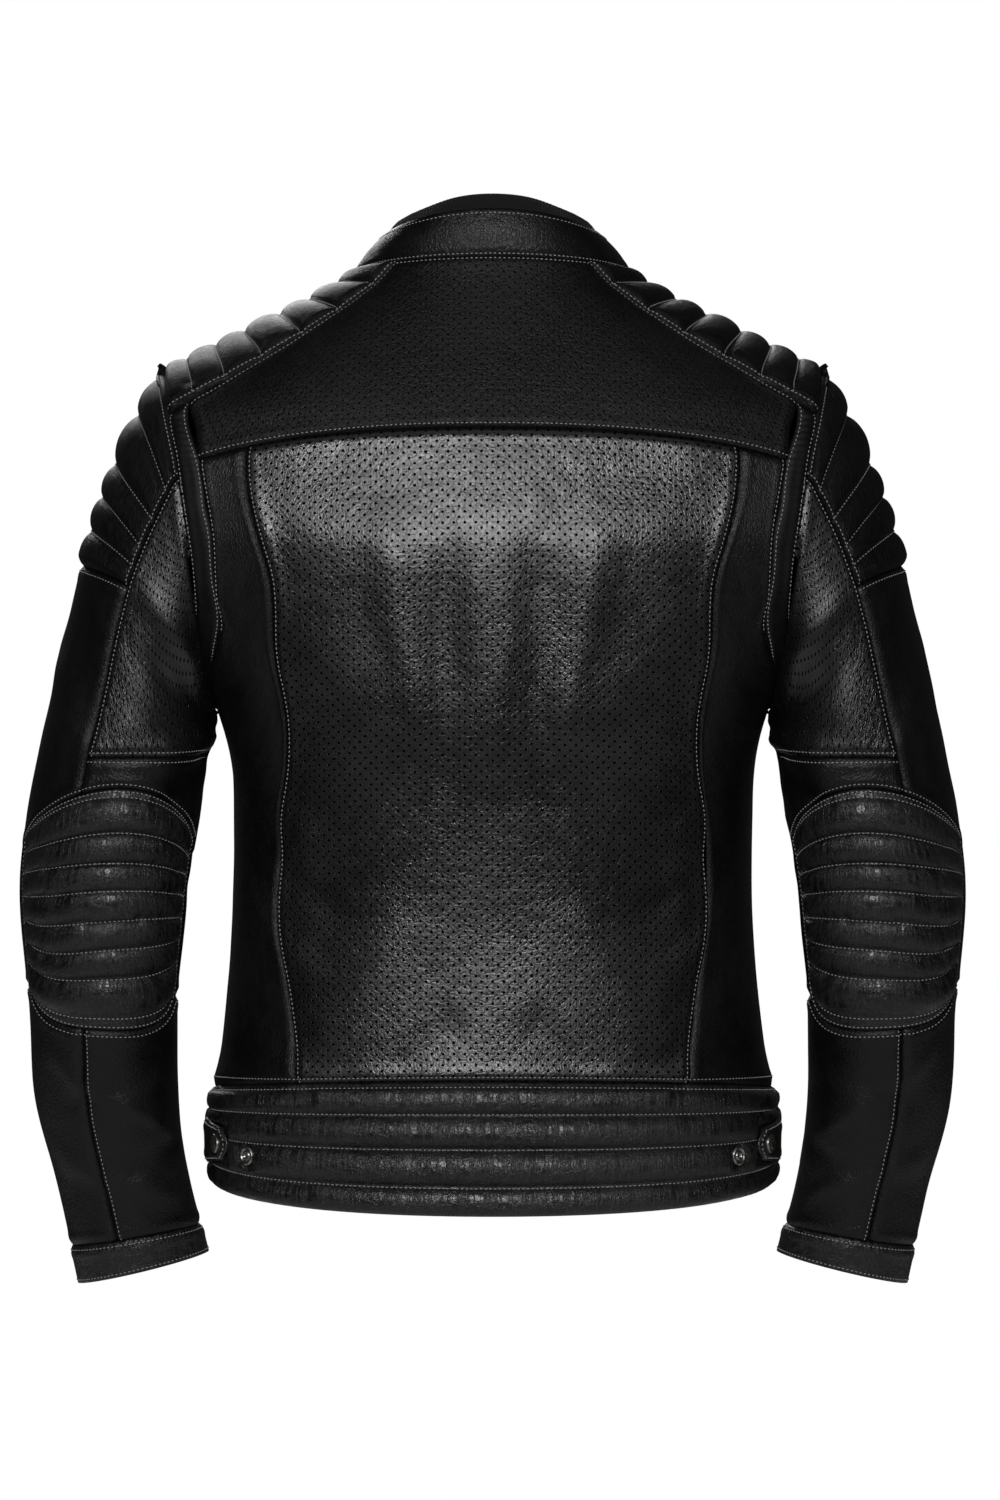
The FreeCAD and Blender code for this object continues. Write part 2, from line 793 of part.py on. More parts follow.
def slider_with_pull(name):
    """A small slider plate with its pull tag joined on."""
    body, sketch = sketch_body(name, "XZ_Plane")
    half = size("slider_width") * 0.36
    length = size("slider_length") * 0.55
    tail = size("pull_length") * 0.75
    points = [(-half, 0), (-half * 0.6, -tail), (half * 0.6, -tail), (half, 0), (half, length * 0.7),
              (half * 0.5, length), (-half * 0.5, length), (-half, length * 0.7)]
    close_outline(sketch, points)
    pad = body.newObject("PartDesign::Pad", name + "_plate")
    pad.Profile = sketch
    pad.Reversed = True
    bind(pad, Length="Sizes.slider_plate")
    body.Tip = pad
    return body


ZIP_TAPE = 1.2
ZIP_LIFT = 0.5


def build_small_zips():
    """The hand pocket zips and the cuff zips, each with a slider that runs along its chord."""
    pocket_top, pocket_end = torso(128, -440), torso(128, -545)
    cuff_top, cuff_end = sleeve(215, 8.15), sleeve(215, 9.5)
    zips = (
        ("pocket_zip", pocket_top, pocket_end, outward(torso, 128, -490), ZIP_LIFT),
        ("cuff_zip", cuff_top, cuff_end, outward(sleeve, 215, 8.8), ZIP_LIFT + 1.2),
    )
    for name, start, end, out, lift in zips:
        placement, length = straight_zip(start, end, out, lift)

        def strip(label):
            made = doc.addObject("Part::Box", label)
            bind(made, Length="Sizes.teeth_width")
            made.Width = ZIP_TAPE
            made.Height = length
            return made

        middle = FreeCAD.Placement(Vector(-size("teeth_width") / 2, 0, 0), FreeCAD.Rotation())
        place_pair(strip, name, placement.multiply(middle))
        height = length - size("slider_length") * 0.55
        seat = FreeCAD.Placement(Vector(0, ZIP_TAPE + 0.5, height), FreeCAD.Rotation())
        place_pair(slider_with_pull, name + "_slider", placement.multiply(seat))
        travel = (end - start).normalize()
        print(name, "travel", [round(c, 4) for c in travel], "length", round(length, 1))


def build_main_zip():
    """The front zip, closed: a bar of teeth on its tape, the slider at the top, and the pull on its pin."""
    top, low = -78.0, -638.0
    lean = size("front_lean")
    up = Vector(0, lean, 1).normalize()
    out = Vector(0, -1, lean).normalize()
    placement = frame(Vector(0, front_line(low), low), up, out)
    height = (top - low) / up.z

    teeth = doc.addObject("Part::Box", "main_zip_teeth")
    bind(teeth, Length="Sizes.teeth_width", Width="Sizes.teeth_depth")
    teeth.Height = height
    shift = Vector(-size("teeth_width") / 2, -size("teeth_depth"), 0)
    teeth.Placement = placement.multiply(FreeCAD.Placement(shift, FreeCAD.Rotation()))
    keep(teeth, "main_zip_teeth")
    tape_half, tape_depth, tape_seat = 20.0, 0.8, 3.2
    tape = doc.addObject("Part::Box", "main_zip_tape")
    tape.Length, tape.Width, tape.Height = 2 * tape_half, tape_depth, height
    shift = Vector(-tape_half, -tape_seat - tape_depth, 0)
    tape.Placement = placement.multiply(FreeCAD.Placement(shift, FreeCAD.Rotation()))
    keep(tape, "main_zip_tape")

    gap, plate, width = size("slider_gap"), size("slider_plate"), size("slider_width")
    length = size("slider_length")
    pin_y, pin_z = gap + plate + size("slider_lug"), length - 5.0
    ear = 1.5
    corner = (-width / 2, gap, 0)
    pieces = [box("slider_face", "Sizes.slider_width", "Sizes.slider_plate", "Sizes.slider_length", corner)]
    for side in (-1, 1):
        lug = doc.addObject("Part::Box", "slider_lug")
        lug.Length, lug.Width, lug.Height = width / 2 - size("teeth_width") / 2 - gap, gap + 1.6, length
        lug.Placement.Base = Vector(-width / 2 if side < 0 else width / 2 - lug.Length.Value, -1.6, 0)
        wing = doc.addObject("Part::Box", "slider_ear")
        wing.Length, wing.Width, wing.Height = ear, size("slider_lug") + 1.6, 4.4
        wing.Placement.Base = Vector(-width / 2 if side < 0 else width / 2 - ear, gap + plate, pin_z - 2.2)
        pieces += [lug, wing]
    pin = doc.addObject("Part::Cylinder", "slider_pin")
    pin.Radius, pin.Height = 1.0, width - ear
    across = FreeCAD.Rotation(Vector(0, 1, 0), 90)
    pin.Placement = FreeCAD.Placement(Vector(-(width - ear) / 2, pin_y, pin_z), across)
    slider = fuse("main_zip_slider", *pieces, pin)
    slide_height = height - length
    slider.Placement = placement.multiply(FreeCAD.Placement(Vector(0, 0, slide_height), FreeCAD.Rotation()))
    keep(slider, "main_zip_slider")

    pull_half, barrel = width / 2 - ear - 0.5, 1.9
    tag = doc.addObject("Part::Box", "pull_tag")
    tag.Length, tag.Width = 2 * pull_half, size("pull_plate")
    bind(tag, Height="Sizes.pull_length")
    tag.Placement.Base = Vector(-pull_half, pin_y - size("pull_plate") / 2, pin_z - size("pull_length"))
    eye = doc.addObject("Part::Cylinder", "pull_eye")
    eye.Radius, eye.Height = barrel, 2 * pull_half
    eye.Placement = FreeCAD.Placement(Vector(-pull_half, pin_y, pin_z), across)
    bore = doc.addObject("Part::Cylinder", "pull_bore")
    bore.Radius, bore.Height = 1.35, 2 * pull_half + 2
    bore.Placement = FreeCAD.Placement(Vector(-pull_half - 1, pin_y, pin_z), across)
    window = doc.addObject("Part::Box", "pull_window")
    window.Length, window.Width, window.Height = 2 * pull_half - 3.4, 6, 9
    window.Placement.Base = Vector(-pull_half + 1.7, pin_y - 3, pin_z - size("pull_length") + 4)
    pull = doc.addObject("Part::Cut", "main_zip_pull")
    pull.Base = fuse("pull_solid", tag, eye)
    pull.Tool = fuse("pull_holes", bore, window)
    pull.Placement = slider.Placement
    keep(pull, "main_zip_pull")
    doc.recompute()
    pivot = slider.Placement.multVec(Vector(0, pin_y, pin_z))
    print("pull pivot", [round(c, 3) for c in pivot], "slide", round(slide_height, 1))


def build_hang_loop():
    """A flat leather strap in the back of the neck, sewn down at both ends and standing off in the middle."""
    wall_y = collar(0, 0.3).y - LEATHER - size("knit") - 1.0
    half, reach, plate = size("loop_length") / 2, size("loop_reach"), size("loop_plate")
    end_set, shoulder_set, shoulder_x, flat_x = 3.4, 1.7, half - 7, half - 11
    body, sketch = sketch_body("hang_loop", "XY_Plane")
    rising = [(-half, -end_set), (-shoulder_x, -shoulder_set), (-flat_x, -reach)]
    outer = rising + [(-x, y) for x, y in reversed(rising)]
    inner = [(x, y - plate) for x, y in reversed(outer)]
    close_outline(sketch, outer + inner)
    pad = body.newObject("PartDesign::Pad", "hang_loop_strap")
    pad.Profile = sketch
    pad.Midplane = True
    bind(pad, Length="Sizes.loop_strap")
    body.Tip = pad
    body.Placement = FreeCAD.Placement(Vector(0, wall_y, 0), FreeCAD.Rotation())
    keep(body, "hang_loop")
    print("hang loop middle", round(wall_y - reach, 2))


build_back()
build_yoke_and_gusset()
build_shoulders()
build_front()
build_waistband()
build_collar()
build_lining()
build_upper_sleeve()
build_forearm()
build_waist_fittings()
build_small_zips()
build_main_zip()
build_hang_loop()
doc.recompute()

for feature in doc.Objects:
    if {"Invalid", "Error"} & set(feature.State):
        raise RuntimeError(feature.Label + " failed: " + str(feature.State))

for feature in subparts:
    if feature.Shape.isNull() or not feature.Shape.isValid():
        raise RuntimeError(feature.Label + " has no valid shape")

os.makedirs("parts", exist_ok=True)
for feature in subparts:
    feature.Shape.exportStep("parts/" + feature.Label + ".step")
print(len(subparts), "sub-parts written")
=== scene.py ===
import json
import math

import bpy
import numpy as np
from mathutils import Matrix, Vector


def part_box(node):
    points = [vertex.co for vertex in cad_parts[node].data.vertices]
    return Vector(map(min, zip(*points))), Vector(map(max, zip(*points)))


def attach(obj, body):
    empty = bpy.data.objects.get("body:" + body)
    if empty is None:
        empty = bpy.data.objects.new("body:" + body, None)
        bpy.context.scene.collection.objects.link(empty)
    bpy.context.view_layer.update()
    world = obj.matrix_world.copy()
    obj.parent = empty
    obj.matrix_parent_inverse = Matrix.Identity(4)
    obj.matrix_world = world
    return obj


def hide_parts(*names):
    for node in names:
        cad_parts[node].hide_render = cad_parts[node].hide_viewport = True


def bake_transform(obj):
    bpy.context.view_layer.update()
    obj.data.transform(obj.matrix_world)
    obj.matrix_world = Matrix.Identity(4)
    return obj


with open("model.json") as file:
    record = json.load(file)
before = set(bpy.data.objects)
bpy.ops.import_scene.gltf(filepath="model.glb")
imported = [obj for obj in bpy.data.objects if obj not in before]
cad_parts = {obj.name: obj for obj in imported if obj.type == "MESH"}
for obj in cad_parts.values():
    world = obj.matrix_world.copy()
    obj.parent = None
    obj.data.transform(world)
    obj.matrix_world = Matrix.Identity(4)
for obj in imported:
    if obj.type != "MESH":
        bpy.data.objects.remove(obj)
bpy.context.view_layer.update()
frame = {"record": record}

MM = 0.001
SIDES = {"L": 1.0, "R": -1.0}

# ------------------------------------------------------------------ shape of the jacket
# The same sections as the frame, in millimetres: drop below the collar seam, half width, back Y.
TORSO = (
    (0, 80, 16), (24, 111, 24), (58, 178, 38), (86, 235, 50), (110, 266, 59), (145, 278, 68),
    (200, 262, 78), (260, 224, 76), (322, 188, 72), (380, 179, 64), (460, 179.5, 60), (545, 187, 65),
    (600, 197, 71), (665, 195, 75),
)
# Sleeve: outer X, outer drop, inner X, inner drop, centre Y, half depth, from the armhole to the cuff.
SLEEVE = (
    (228, 76, 190, 322, -40, 82), (258, 140, 192, 329, -39, 80), (281, 205, 194.5, 341, -38, 77),
    (297, 274, 198.5, 363, -37, 74), (311, 334, 203, 390, -36, 71), (322, 390, 208, 420, -35, 67),
    (326.5, 441, 212.5, 459, -38, 63), (321, 522, 218.5, 528, -60, 57), (317.5, 590, 217.5, 594, -86, 53),
    (303, 650, 211, 644, -106, 50), (289, 718, 198.5, 696, -121, 48),
)
FLATNESS = 0.25
FRONT_TOP, FRONT_LEAN = 136.0, 0.09
ARMHOLE_TOP_X, ARMHOLE_LOW_X = 228.0, 190.0
ARMHOLE_TOP_DROP, ARMHOLE_LOW_DROP = 76.0, 322.0
ARMHOLE_EDGE = (-81.5, -318.0)
NECK_CENTRE_Y = -58.0
CROOK_DROP, ELBOW_BACK_DROP = 452.0, 368.0
COLLAR_HEIGHT, COLLAR_LEAN, KNIT_RISE = 31.0, 0.8, 10.0
ZIP_HALF = 8.0
LAST_RING = float(len(SLEEVE) - 1)


def hermite(knots, values, at):
    """A smooth curve through values at rising knots, level past its ends and over level stretches."""
    knots, values = np.asarray(knots, float), np.asarray(values, float)
    at = np.clip(np.asarray(at, float), knots[0], knots[-1])
    order = np.arange(len(knots))
    low, high = np.maximum(order - 1, 0), np.minimum(order + 1, len(knots) - 1)
    slopes = (values[high] - values[low]) / (knots[high] - knots[low])
    turns_back = (values - values[low]) * (values[high] - values) <= 0
    turns_back[0] = turns_back[-1] = False
    slopes[turns_back] = 0.0
    k = np.clip(np.searchsorted(knots, at, side="right") - 1, 0, len(knots) - 2)
    span = knots[k + 1] - knots[k]
    t = (at - knots[k]) / span
    rise = 3 * t**2 - 2 * t**3
    start = t * (1 - t) ** 2 * span * slopes[k]
    end = t**2 * (1 - t) * span * slopes[k + 1]
    return values[k] + (values[k + 1] - values[k]) * rise + start - end


def columns(table):
    return [np.array(column, float) for column in zip(*table)]


DROPS, HALVES, BACKS = columns(TORSO)
OUT_X, OUT_DROP, IN_X, IN_DROP, CENTRE_Y, DEPTH = columns(SLEEVE)
RINGS = np.arange(len(SLEEVE), dtype=float)


def smoothstep(low, high, value):
    t = np.clip((value - low) / (high - low), 0, 1)
    return t * t * (3 - 2 * t)


def half_width(z):
    return hermite(DROPS, HALVES, -z)


def front_line(z):
    return -FRONT_TOP + FRONT_LEAN * z


def torso(angle, z):
    """Body surface: 0 degrees is the centre back, 90 the left side, 180 the centre front."""
    angle, z = np.broadcast_arrays(np.asarray(angle, float), np.asarray(z, float))
    back, front = hermite(DROPS, BACKS, -z), front_line(z)
    turn = np.radians(angle)
    across = np.cos(turn) * (1 + FLATNESS * np.sin(turn) ** 2)
    x = half_width(z) * np.sin(turn)
    return np.stack([x, (back + front) / 2 + (back - front) / 2 * across, z], axis=-1)


def armhole_x(z):
    share = (-ARMHOLE_TOP_DROP - z) / (ARMHOLE_LOW_DROP - ARMHOLE_TOP_DROP)
    return ARMHOLE_TOP_X + (ARMHOLE_LOW_X - ARMHOLE_TOP_X) * share


def back_at(x, z):
    return np.degrees(np.arcsin(np.clip(x / half_width(z), -1, 1)))


def armhole_curve(angle):
    """The edge of the body at the armhole, by the sleeve's own angle."""
    turn = np.radians(angle)
    top, low = ARMHOLE_EDGE
    z = (top + low) / 2 + (top - low) / 2 * np.cos(turn)
    body_angle = back_at(armhole_x(z), z)
    back, front = torso(body_angle, z), torso(180 - body_angle, z)
    middle = (back + front) / 2
    middle[..., 1] += np.abs(back[..., 1] - front[..., 1]) / 2 * np.tanh(np.sin(turn) / 0.1)
    return middle


def sleeve(angle, ring):
    """Left sleeve surface: 0 degrees is the outer edge and 90 the back; ring counts down the arm."""
    angle, ring = np.broadcast_arrays(np.asarray(angle, float), np.asarray(ring, float))
    turn = np.radians(angle)
    out_x, in_x = hermite(RINGS, OUT_X, ring), hermite(RINGS, IN_X, ring)
    out_z, in_z = -hermite(RINGS, OUT_DROP, ring), -hermite(RINGS, IN_DROP, ring)
    x = (out_x + in_x) / 2 + (out_x - in_x) / 2 * np.cos(turn)
    z = (out_z + in_z) / 2 + (out_z - in_z) / 2 * np.cos(turn)
    y = hermite(RINGS, CENTRE_Y, ring) + hermite(RINGS, DEPTH, ring) * np.sin(turn)
    point = np.stack([x, y, z], axis=-1)
    join = smoothstep(0.0, 1.1, ring)[..., None]
    return armhole_curve(angle) * (1 - join) + point * join


def neck_line(angle):
    turn = np.abs(np.asarray(angle, float))
    back = -12.0 * (1 - np.cos(np.radians(turn)))
    front = -12.0 - 50.0 * (np.clip(turn - 90, 0, 90) / 90) ** 1.5
    return np.where(turn <= 90, back, front)


def collar(angle, height):
    """Stand collar: height 0 is the collar seam and 1 the top edge of the leather."""
    angle, height = np.broadcast_arrays(np.asarray(angle, float), np.asarray(height, float))
    base = torso(angle, neck_line(angle))
    centre = NECK_CENTRE_Y
    turn = np.sin(np.radians(np.abs(angle))) ** 2
    lean = 1 - (1 - COLLAR_LEAN) * (0.5 + 0.5 * turn)
    top = np.stack([base[..., 0] * lean, centre + (base[..., 1] - centre) * 0.95,
                    base[..., 2] + COLLAR_HEIGHT - 7 * turn], axis=-1)
    bulge = 2.2 * np.sin(np.pi * np.clip(height, 0, 1))
    point = base + (top - base) * np.minimum(height, 1)[..., None]
    over = np.maximum(height - 1, 0)
    point[..., 2] += over * (COLLAR_HEIGHT + 6 * turn)
    point[..., 0] *= 1 - 0.55 * over ** 1.5
    away = base - np.array([0.0, centre, 0.0])
    away[..., 2] = 0
    away /= np.maximum(np.linalg.norm(away, axis=-1, keepdims=True), 1e-6)
    return point + away * bulge[..., None]


def band_line(angle):
    return -565 - 11 * np.minimum(1, 1 - np.cos(np.radians(angle)))


def hem_line(angle):
    return -657 + 17 * np.minimum(1, 1 - np.cos(np.radians(angle)))


def yoke_line(angle):
    return -118 - 20 * (np.abs(angle) / 44) ** 2.4


def gusset_x(z):
    return armhole_x(z) - 17 + 7 * np.maximum(0, (-z - 200) / 62)


def bisect(low, high, inside):
    """Where the test stops holding, for every element at once."""
    low, high = np.array(low, float), np.array(high, float)
    for _ in range(36):
        middle = (low + high) / 2
        ok = inside(middle)
        low, high = np.where(ok, middle, low), np.where(ok, high, middle)
    return low


def shoulder_edge(angle):
    angle = np.asarray(angle, float)
    sine = np.sin(np.radians(angle))
    return bisect(np.full(angle.shape, -40.0), np.full(angle.shape, -150.0),
                  lambda z: half_width(z) * sine < armhole_x(z))


def elbow_ring(angle):
    """Where the sleeve meets the slanted plane through the crook of the elbow."""
    angle = np.asarray(angle, float)
    crook_y = CENTRE_Y[6] - DEPTH[6]
    climb = (CROOK_DROP - ELBOW_BACK_DROP) / (CENTRE_Y[5] + DEPTH[5] - crook_y)

    def above(ring):
        point = sleeve(angle, ring)
        return point[..., 2] > -CROOK_DROP + climb * (point[..., 1] - crook_y)

    return bisect(np.full(angle.shape, 2.0), np.full(angle.shape, 9.0), above)


def ring_at_drop(angle, drop):
    angle = np.asarray(angle, float)
    return bisect(np.full(angle.shape, 0.0), np.full(angle.shape, LAST_RING),
                  lambda ring: sleeve(angle, ring)[..., 2] > -drop)


# ------------------------------------------------------------------ edges and patches


def curve(*points):
    knots = np.linspace(0, 1, len(points))
    firsts, seconds = [p[0] for p in points], [p[1] for p in points]
    return lambda t: (hermite(knots, firsts, t), hermite(knots, seconds, t))


def along(function, start, end):
    return lambda t: (start + (end - start) * np.asarray(t), function(start + (end - start) * np.asarray(t)))


def patch(bottom, top, left, right):
    """A four-sided patch between four edges that share their corners."""

    def place(u, v):
        found = []
        for k in range(2):
            sides = (1 - u) * left(v)[k] + u * right(v)[k]
            ends = (1 - v) * bottom(u)[k] + v * top(u)[k]
            low = (1 - u) * left(0.0)[k] + u * right(0.0)[k]
            high = (1 - u) * left(1.0)[k] + u * right(1.0)[k]
            found.append(sides + ends - (1 - v) * low - v * high)
        return found

    return place


def ruled(bottom, top):
    left = curve([float(c) for c in bottom(0.0)], [float(c) for c in top(0.0)])
    right = curve([float(c) for c in bottom(1.0)], [float(c) for c in top(1.0)])
    return patch(bottom, top, left, right)


def between(bottom, top, start, end):
    """A patch between two lines that are functions of the first coordinate."""
    return ruled(along(bottom, start, end), along(top, start, end))


def block(start, end, low, high):
    """A plain patch in surface coordinates."""
    return ruled(curve((start, low), (end, low)), curve((start, high), (end, high)))


def normals_of(surface, first, second):
    step = 0.02
    a = surface(first + step, second) - surface(first - step, second)
    b = surface(first, second + step) - surface(first, second - step)
    normal = np.cross(b, a)
    return normal / np.maximum(np.linalg.norm(normal, axis=-1, keepdims=True), 1e-9)


# ------------------------------------------------------------------ smooth noise for folds and gathers

LATTICE = np.random.default_rng(7).random((64, 64))


def noise(x, y):
    """Value noise from -1 to 1 that repeats every 64 cells."""
    xi, yi = np.floor(x).astype(int), np.floor(y).astype(int)
    xf, yf = x - xi, y - yi
    xf, yf = xf * xf * (3 - 2 * xf), yf * yf * (3 - 2 * yf)
    a, b = LATTICE[xi % 64, yi % 64], LATTICE[(xi + 1) % 64, yi % 64]
    c, d = LATTICE[xi % 64, (yi + 1) % 64], LATTICE[(xi + 1) % 64, (yi + 1) % 64]
    return ((a * (1 - xf) + b * xf) * (1 - yf) + (c * (1 - xf) + d * xf) * yf) * 2 - 1


def layered(x, y, octaves=3):
    total, weight = 0, 1.0
    for k in range(octaves):
        total = total + weight * noise(x * 2**k + 11.3 * k, y * 2**k + 5.7 * k)
        weight *= 0.5
    return total / (2 - 0.5 ** (octaves - 1))


def ridge(x, z, start, end, width, height):
    """A soft fold along a line between two points of the back view."""
    ax, az = start
    bx, bz = end
    length = math.hypot(bx - ax, bz - az)
    t = ((x - ax) * (bx - ax) + (z - az) * (bz - az)) / length**2
    side = ((x - ax) * (bz - az) - (z - az) * (bx - ax)) / length
    ends = smoothstep(-0.15, 0.25, t) * (1 - smoothstep(0.75, 1.15, t))
    return height * np.exp(-((side / width) ** 2)) * ends


# Folds of the body in the back view: start X, Z, end X, Z, width, height, for the left side.
BODY_FOLDS = (
    (175, -330, 120, -420, 14, 2.6), (180, -380, 105, -455, 12, -2.2), (178, -430, 120, -500, 13, 2.4),
    (182, -480, 130, -545, 12, -2.0), (150, -250, 60, -330, 26, 1.8), (168, -150, 150, -260, 14, 1.5),
    (60, -450, 120, -560, 20, 1.6), (20, -520, 70, -566, 14, -1.4), (165, -545, 100, -575, 9, 1.8),
    (120, -130, 40, -190, 24, -1.2), (74, -180, 52, -330, 15, 1.9), (30, -190, 36, -370, 13, -1.7),
    (8, -200, 4, -340, 12, 1.5),
)
# Folds of the sleeve by angle and ring: angle, ring, end angle, end ring, width, height.
SLEEVE_FOLDS = (
    (175, 1.2, 110, 3.6, 0.22, 4.0), (165, 0.6, 95, 2.4, 0.24, -3.2), (178, 2.2, 120, 4.3, 0.20, -3.4),
    (150, 0.5, 70, 1.6, 0.2, 2.2), (200, 2.0, 250, 4.5, 0.2, 3.0), (215, 1.0, 280, 3.2, 0.24, -2.6),
    (250, 4.6, 340, 5.4, 0.17, 3.2), (230, 5.2, 330, 5.9, 0.16, -3.0), (235, 6.2, 340, 6.7, 0.16, 3.0),
    (185, 5.4, 250, 6.6, 0.17, -2.4), (20, 3.0, 70, 3.9, 0.2, 1.8), (40, 7.4, 150, 8.3, 0.16, 2.4),
    (150, 7.3, 60, 8.0, 0.16, -2.2), (30, 8.5, 140, 9.2, 0.15, 2.0), (160, 8.4, 90, 8.9, 0.14, -1.8),
    (200, 7.6, 300, 8.6, 0.17, 2.4), (210, 8.8, 320, 9.4, 0.15, -1.8), (-30, 2.6, 30, 3.6, 0.2, 1.6),
)


def body_drape(angle, z, side):
    """How far the leather of the body stands in or out, in millimetres."""
    x = half_width(z) * np.sin(np.radians(angle)) * side
    back = smoothstep(-0.1, 0.35, np.cos(np.radians(angle)))
    total = 1.2 * layered(angle / 26.0 + 3 * side, z / 95.0, 2) * smoothstep(30, 120, -z)
    for ax, az, bx, bz, width, height in BODY_FOLDS:
        wobble = 5 * noise(x / 60 + 9, z / 60 + 4)
        total = total + ridge(x + wobble, z, (ax, az), (bx, bz), width, height) * back
    return total


def sleeve_drape(angle, ring, side):
    total = 1.0 * layered(angle / 50.0 + 7 * side, ring * 1.3, 2) * smoothstep(0.3, 1.2, ring)
    turn = np.mod(angle, 360)
    for a0, r0, a1, r1, width, height in SLEEVE_FOLDS:
        for lap in (-360, 0, 360):
            wobble = 0.12 * noise(turn / 40 + 3 * side, ring * 1.7)
            x, y = (turn + lap) / 60.0, ring + wobble
            total = total + ridge(x, y, (a0 / 60.0, r0), (a1 / 60.0, r1), width, height)
    return total * smoothstep(0.0, 0.5, ring) * (1 - smoothstep(9.6, 10.0, ring))


# ------------------------------------------------------------------ meshes


def make_object(name, points, faces, uvs=None, slots=None):
    """A mesh object in metres from points in millimetres, with a UV map in metres of leather."""
    mesh = bpy.data.meshes.new(name)
    mesh.from_pydata([tuple(p) for p in (np.asarray(points) * MM).tolist()], [], faces)
    if uvs is not None:
        layer = mesh.uv_layers.new(name="flat")
        corner = np.zeros(len(mesh.loops), dtype=np.int64)
        mesh.loops.foreach_get("vertex_index", corner)
        layer.data.foreach_set("uv", (np.asarray(uvs)[corner] * MM).ravel())
    if slots is not None:
        mesh.polygons.foreach_set("material_index", np.asarray(slots, dtype=np.int32))
    mesh.polygons.foreach_set("use_smooth", np.ones(len(mesh.polygons), dtype=bool))
    mesh.update()
    made = bpy.data.objects.new(name, mesh)
    bpy.context.scene.collection.objects.link(made)
    return made


def grid_faces(nu, nv, offset=0, flip=False):
    faces = []
    for i in range(nu - 1):
        for j in range(nv - 1):
            a = offset + i * nv + j
            quad = (a, a + nv, a + nv + 1, a + 1)
            faces.append(quad[::-1] if flip else quad)
    return faces


def rim_faces(nu, nv, offset, base=0):
    """The strip that joins the outer grid to the inner grid all round."""
    ring = [i * nv for i in range(nu)]
    ring += [(nu - 1) * nv + j for j in range(1, nv)]
    ring += [i * nv + nv - 1 for i in range(nu - 2, -1, -1)]
    ring += [j for j in range(nv - 2, 0, -1)]
    pairs = zip(ring, ring[1:] + ring[:1])
    return [(base + b, base + a, base + a + offset, base + b + offset) for a, b in pairs]


class Sheet:
    """A grid of leather: places, outward normals and flat lengths, in millimetres."""

    def __init__(self, surface, place, pitch, side):
        probe = 24
        lengths = []
        for swap in (False, True):
            t = np.linspace(0, 1, probe)
            u, v = (np.full(probe, 0.5), t) if swap else (t, np.full(probe, 0.5))
            points = surface(*place(u, v))
            lengths.append(np.linalg.norm(np.diff(points, axis=0), axis=1).sum())
        self.counts = [max(4, int(round(length / pitch)) + 1) for length in lengths]
        nu, nv = self.counts
        self.u, self.v = np.meshgrid(np.linspace(0, 1, nu), np.linspace(0, 1, nv), indexing="ij")
        self.first, self.second = place(self.u, self.v)
        self.base = surface(self.first, self.second)
        self.normal = normals_of(surface, self.first, self.second)
        across = np.linalg.norm(np.diff(self.base, axis=0), axis=-1)
        upward = np.linalg.norm(np.diff(self.base, axis=1), axis=-1)
        self.s = np.vstack([np.zeros((1, nv)), np.cumsum(across, axis=0)])
        self.t = np.hstack([np.zeros((nu, 1)), np.cumsum(upward, axis=1)])
        self.edges = {"left": self.s, "right": self.s[-1:] - self.s,
                      "bottom": self.t, "top": self.t[:, -1:] - self.t}
        self.flat = np.stack([self.s - self.s[-1:] / 2, self.t], axis=-1)
        if side < 0:
            self.base = self.base * np.array([-1.0, 1, 1])
            self.normal = self.normal * np.array([-1.0, 1, 1])
        facing = np.cross(np.gradient(self.base, axis=0), np.gradient(self.base, axis=1))
        self.flip = bool((facing * self.normal).sum() < 0)

    def lift(self, height, shift=None):
        self.top = self.base + self.normal * height[..., None]
        if shift is not None:
            self.top = self.top + shift

    def sample(self, u, v, rise=0.0):
        """Points of the finished top surface, with their normals."""
        nu, nv = self.counts
        x, y = np.clip(u, 0, 1) * (nu - 1), np.clip(v, 0, 1) * (nv - 1)
        i, j = np.minimum(x.astype(int), nu - 2), np.minimum(y.astype(int), nv - 2)
        fx, fy = (x - i)[..., None], (y - j)[..., None]

        def mix(grid):
            low = grid[i, j] * (1 - fx) + grid[i + 1, j] * fx
            high = grid[i, j + 1] * (1 - fx) + grid[i + 1, j + 1] * fx
            return low * (1 - fy) + high * fy

        normal = mix(self.normal)
        return mix(self.top) + normal * rise, normal


def upsample(grid, counts):
    """A coarse grid of vectors resampled smoothly to more rows and columns."""

    def spread(values, count):
        where = np.linspace(0, len(values) - 1, count)
        k = np.clip(where.astype(int), 0, len(values) - 2)
        t = (where - k)[:, None, None]
        last = len(values) - 1
        a, b = values[np.maximum(k - 1, 0)], values[k]
        c, d = values[k + 1], values[np.minimum(k + 2, last)]
        cubic = (2 * a - 5 * b + 4 * c - d) * t**2 + (3 * b - a - 3 * c + d) * t**3
        return 0.5 * (2 * b + (c - a) * t + cubic)

    wide = spread(grid, counts[0])
    return spread(wide.transpose(1, 0, 2), counts[1]).transpose(1, 0, 2)


# The simulation runs on a sheet of a tenth of a metre per millimetre; a point moves REACH at most.
CLOTH_SCALE, CLOTH_PITCH, CLOTH_FRAMES, REACH = 0.1, 2.9, 18, 9.0
CLOTH = {
    "vertex_group_mass": "sewn", "quality": 6, "mass": 0.25,
    "tension_stiffness": 18, "compression_stiffness": 14, "shear_stiffness": 8,
    "bending_stiffness": 0.45, "tension_damping": 12, "compression_damping": 12,
    "air_damping": 2.5, "use_pressure": True,
}


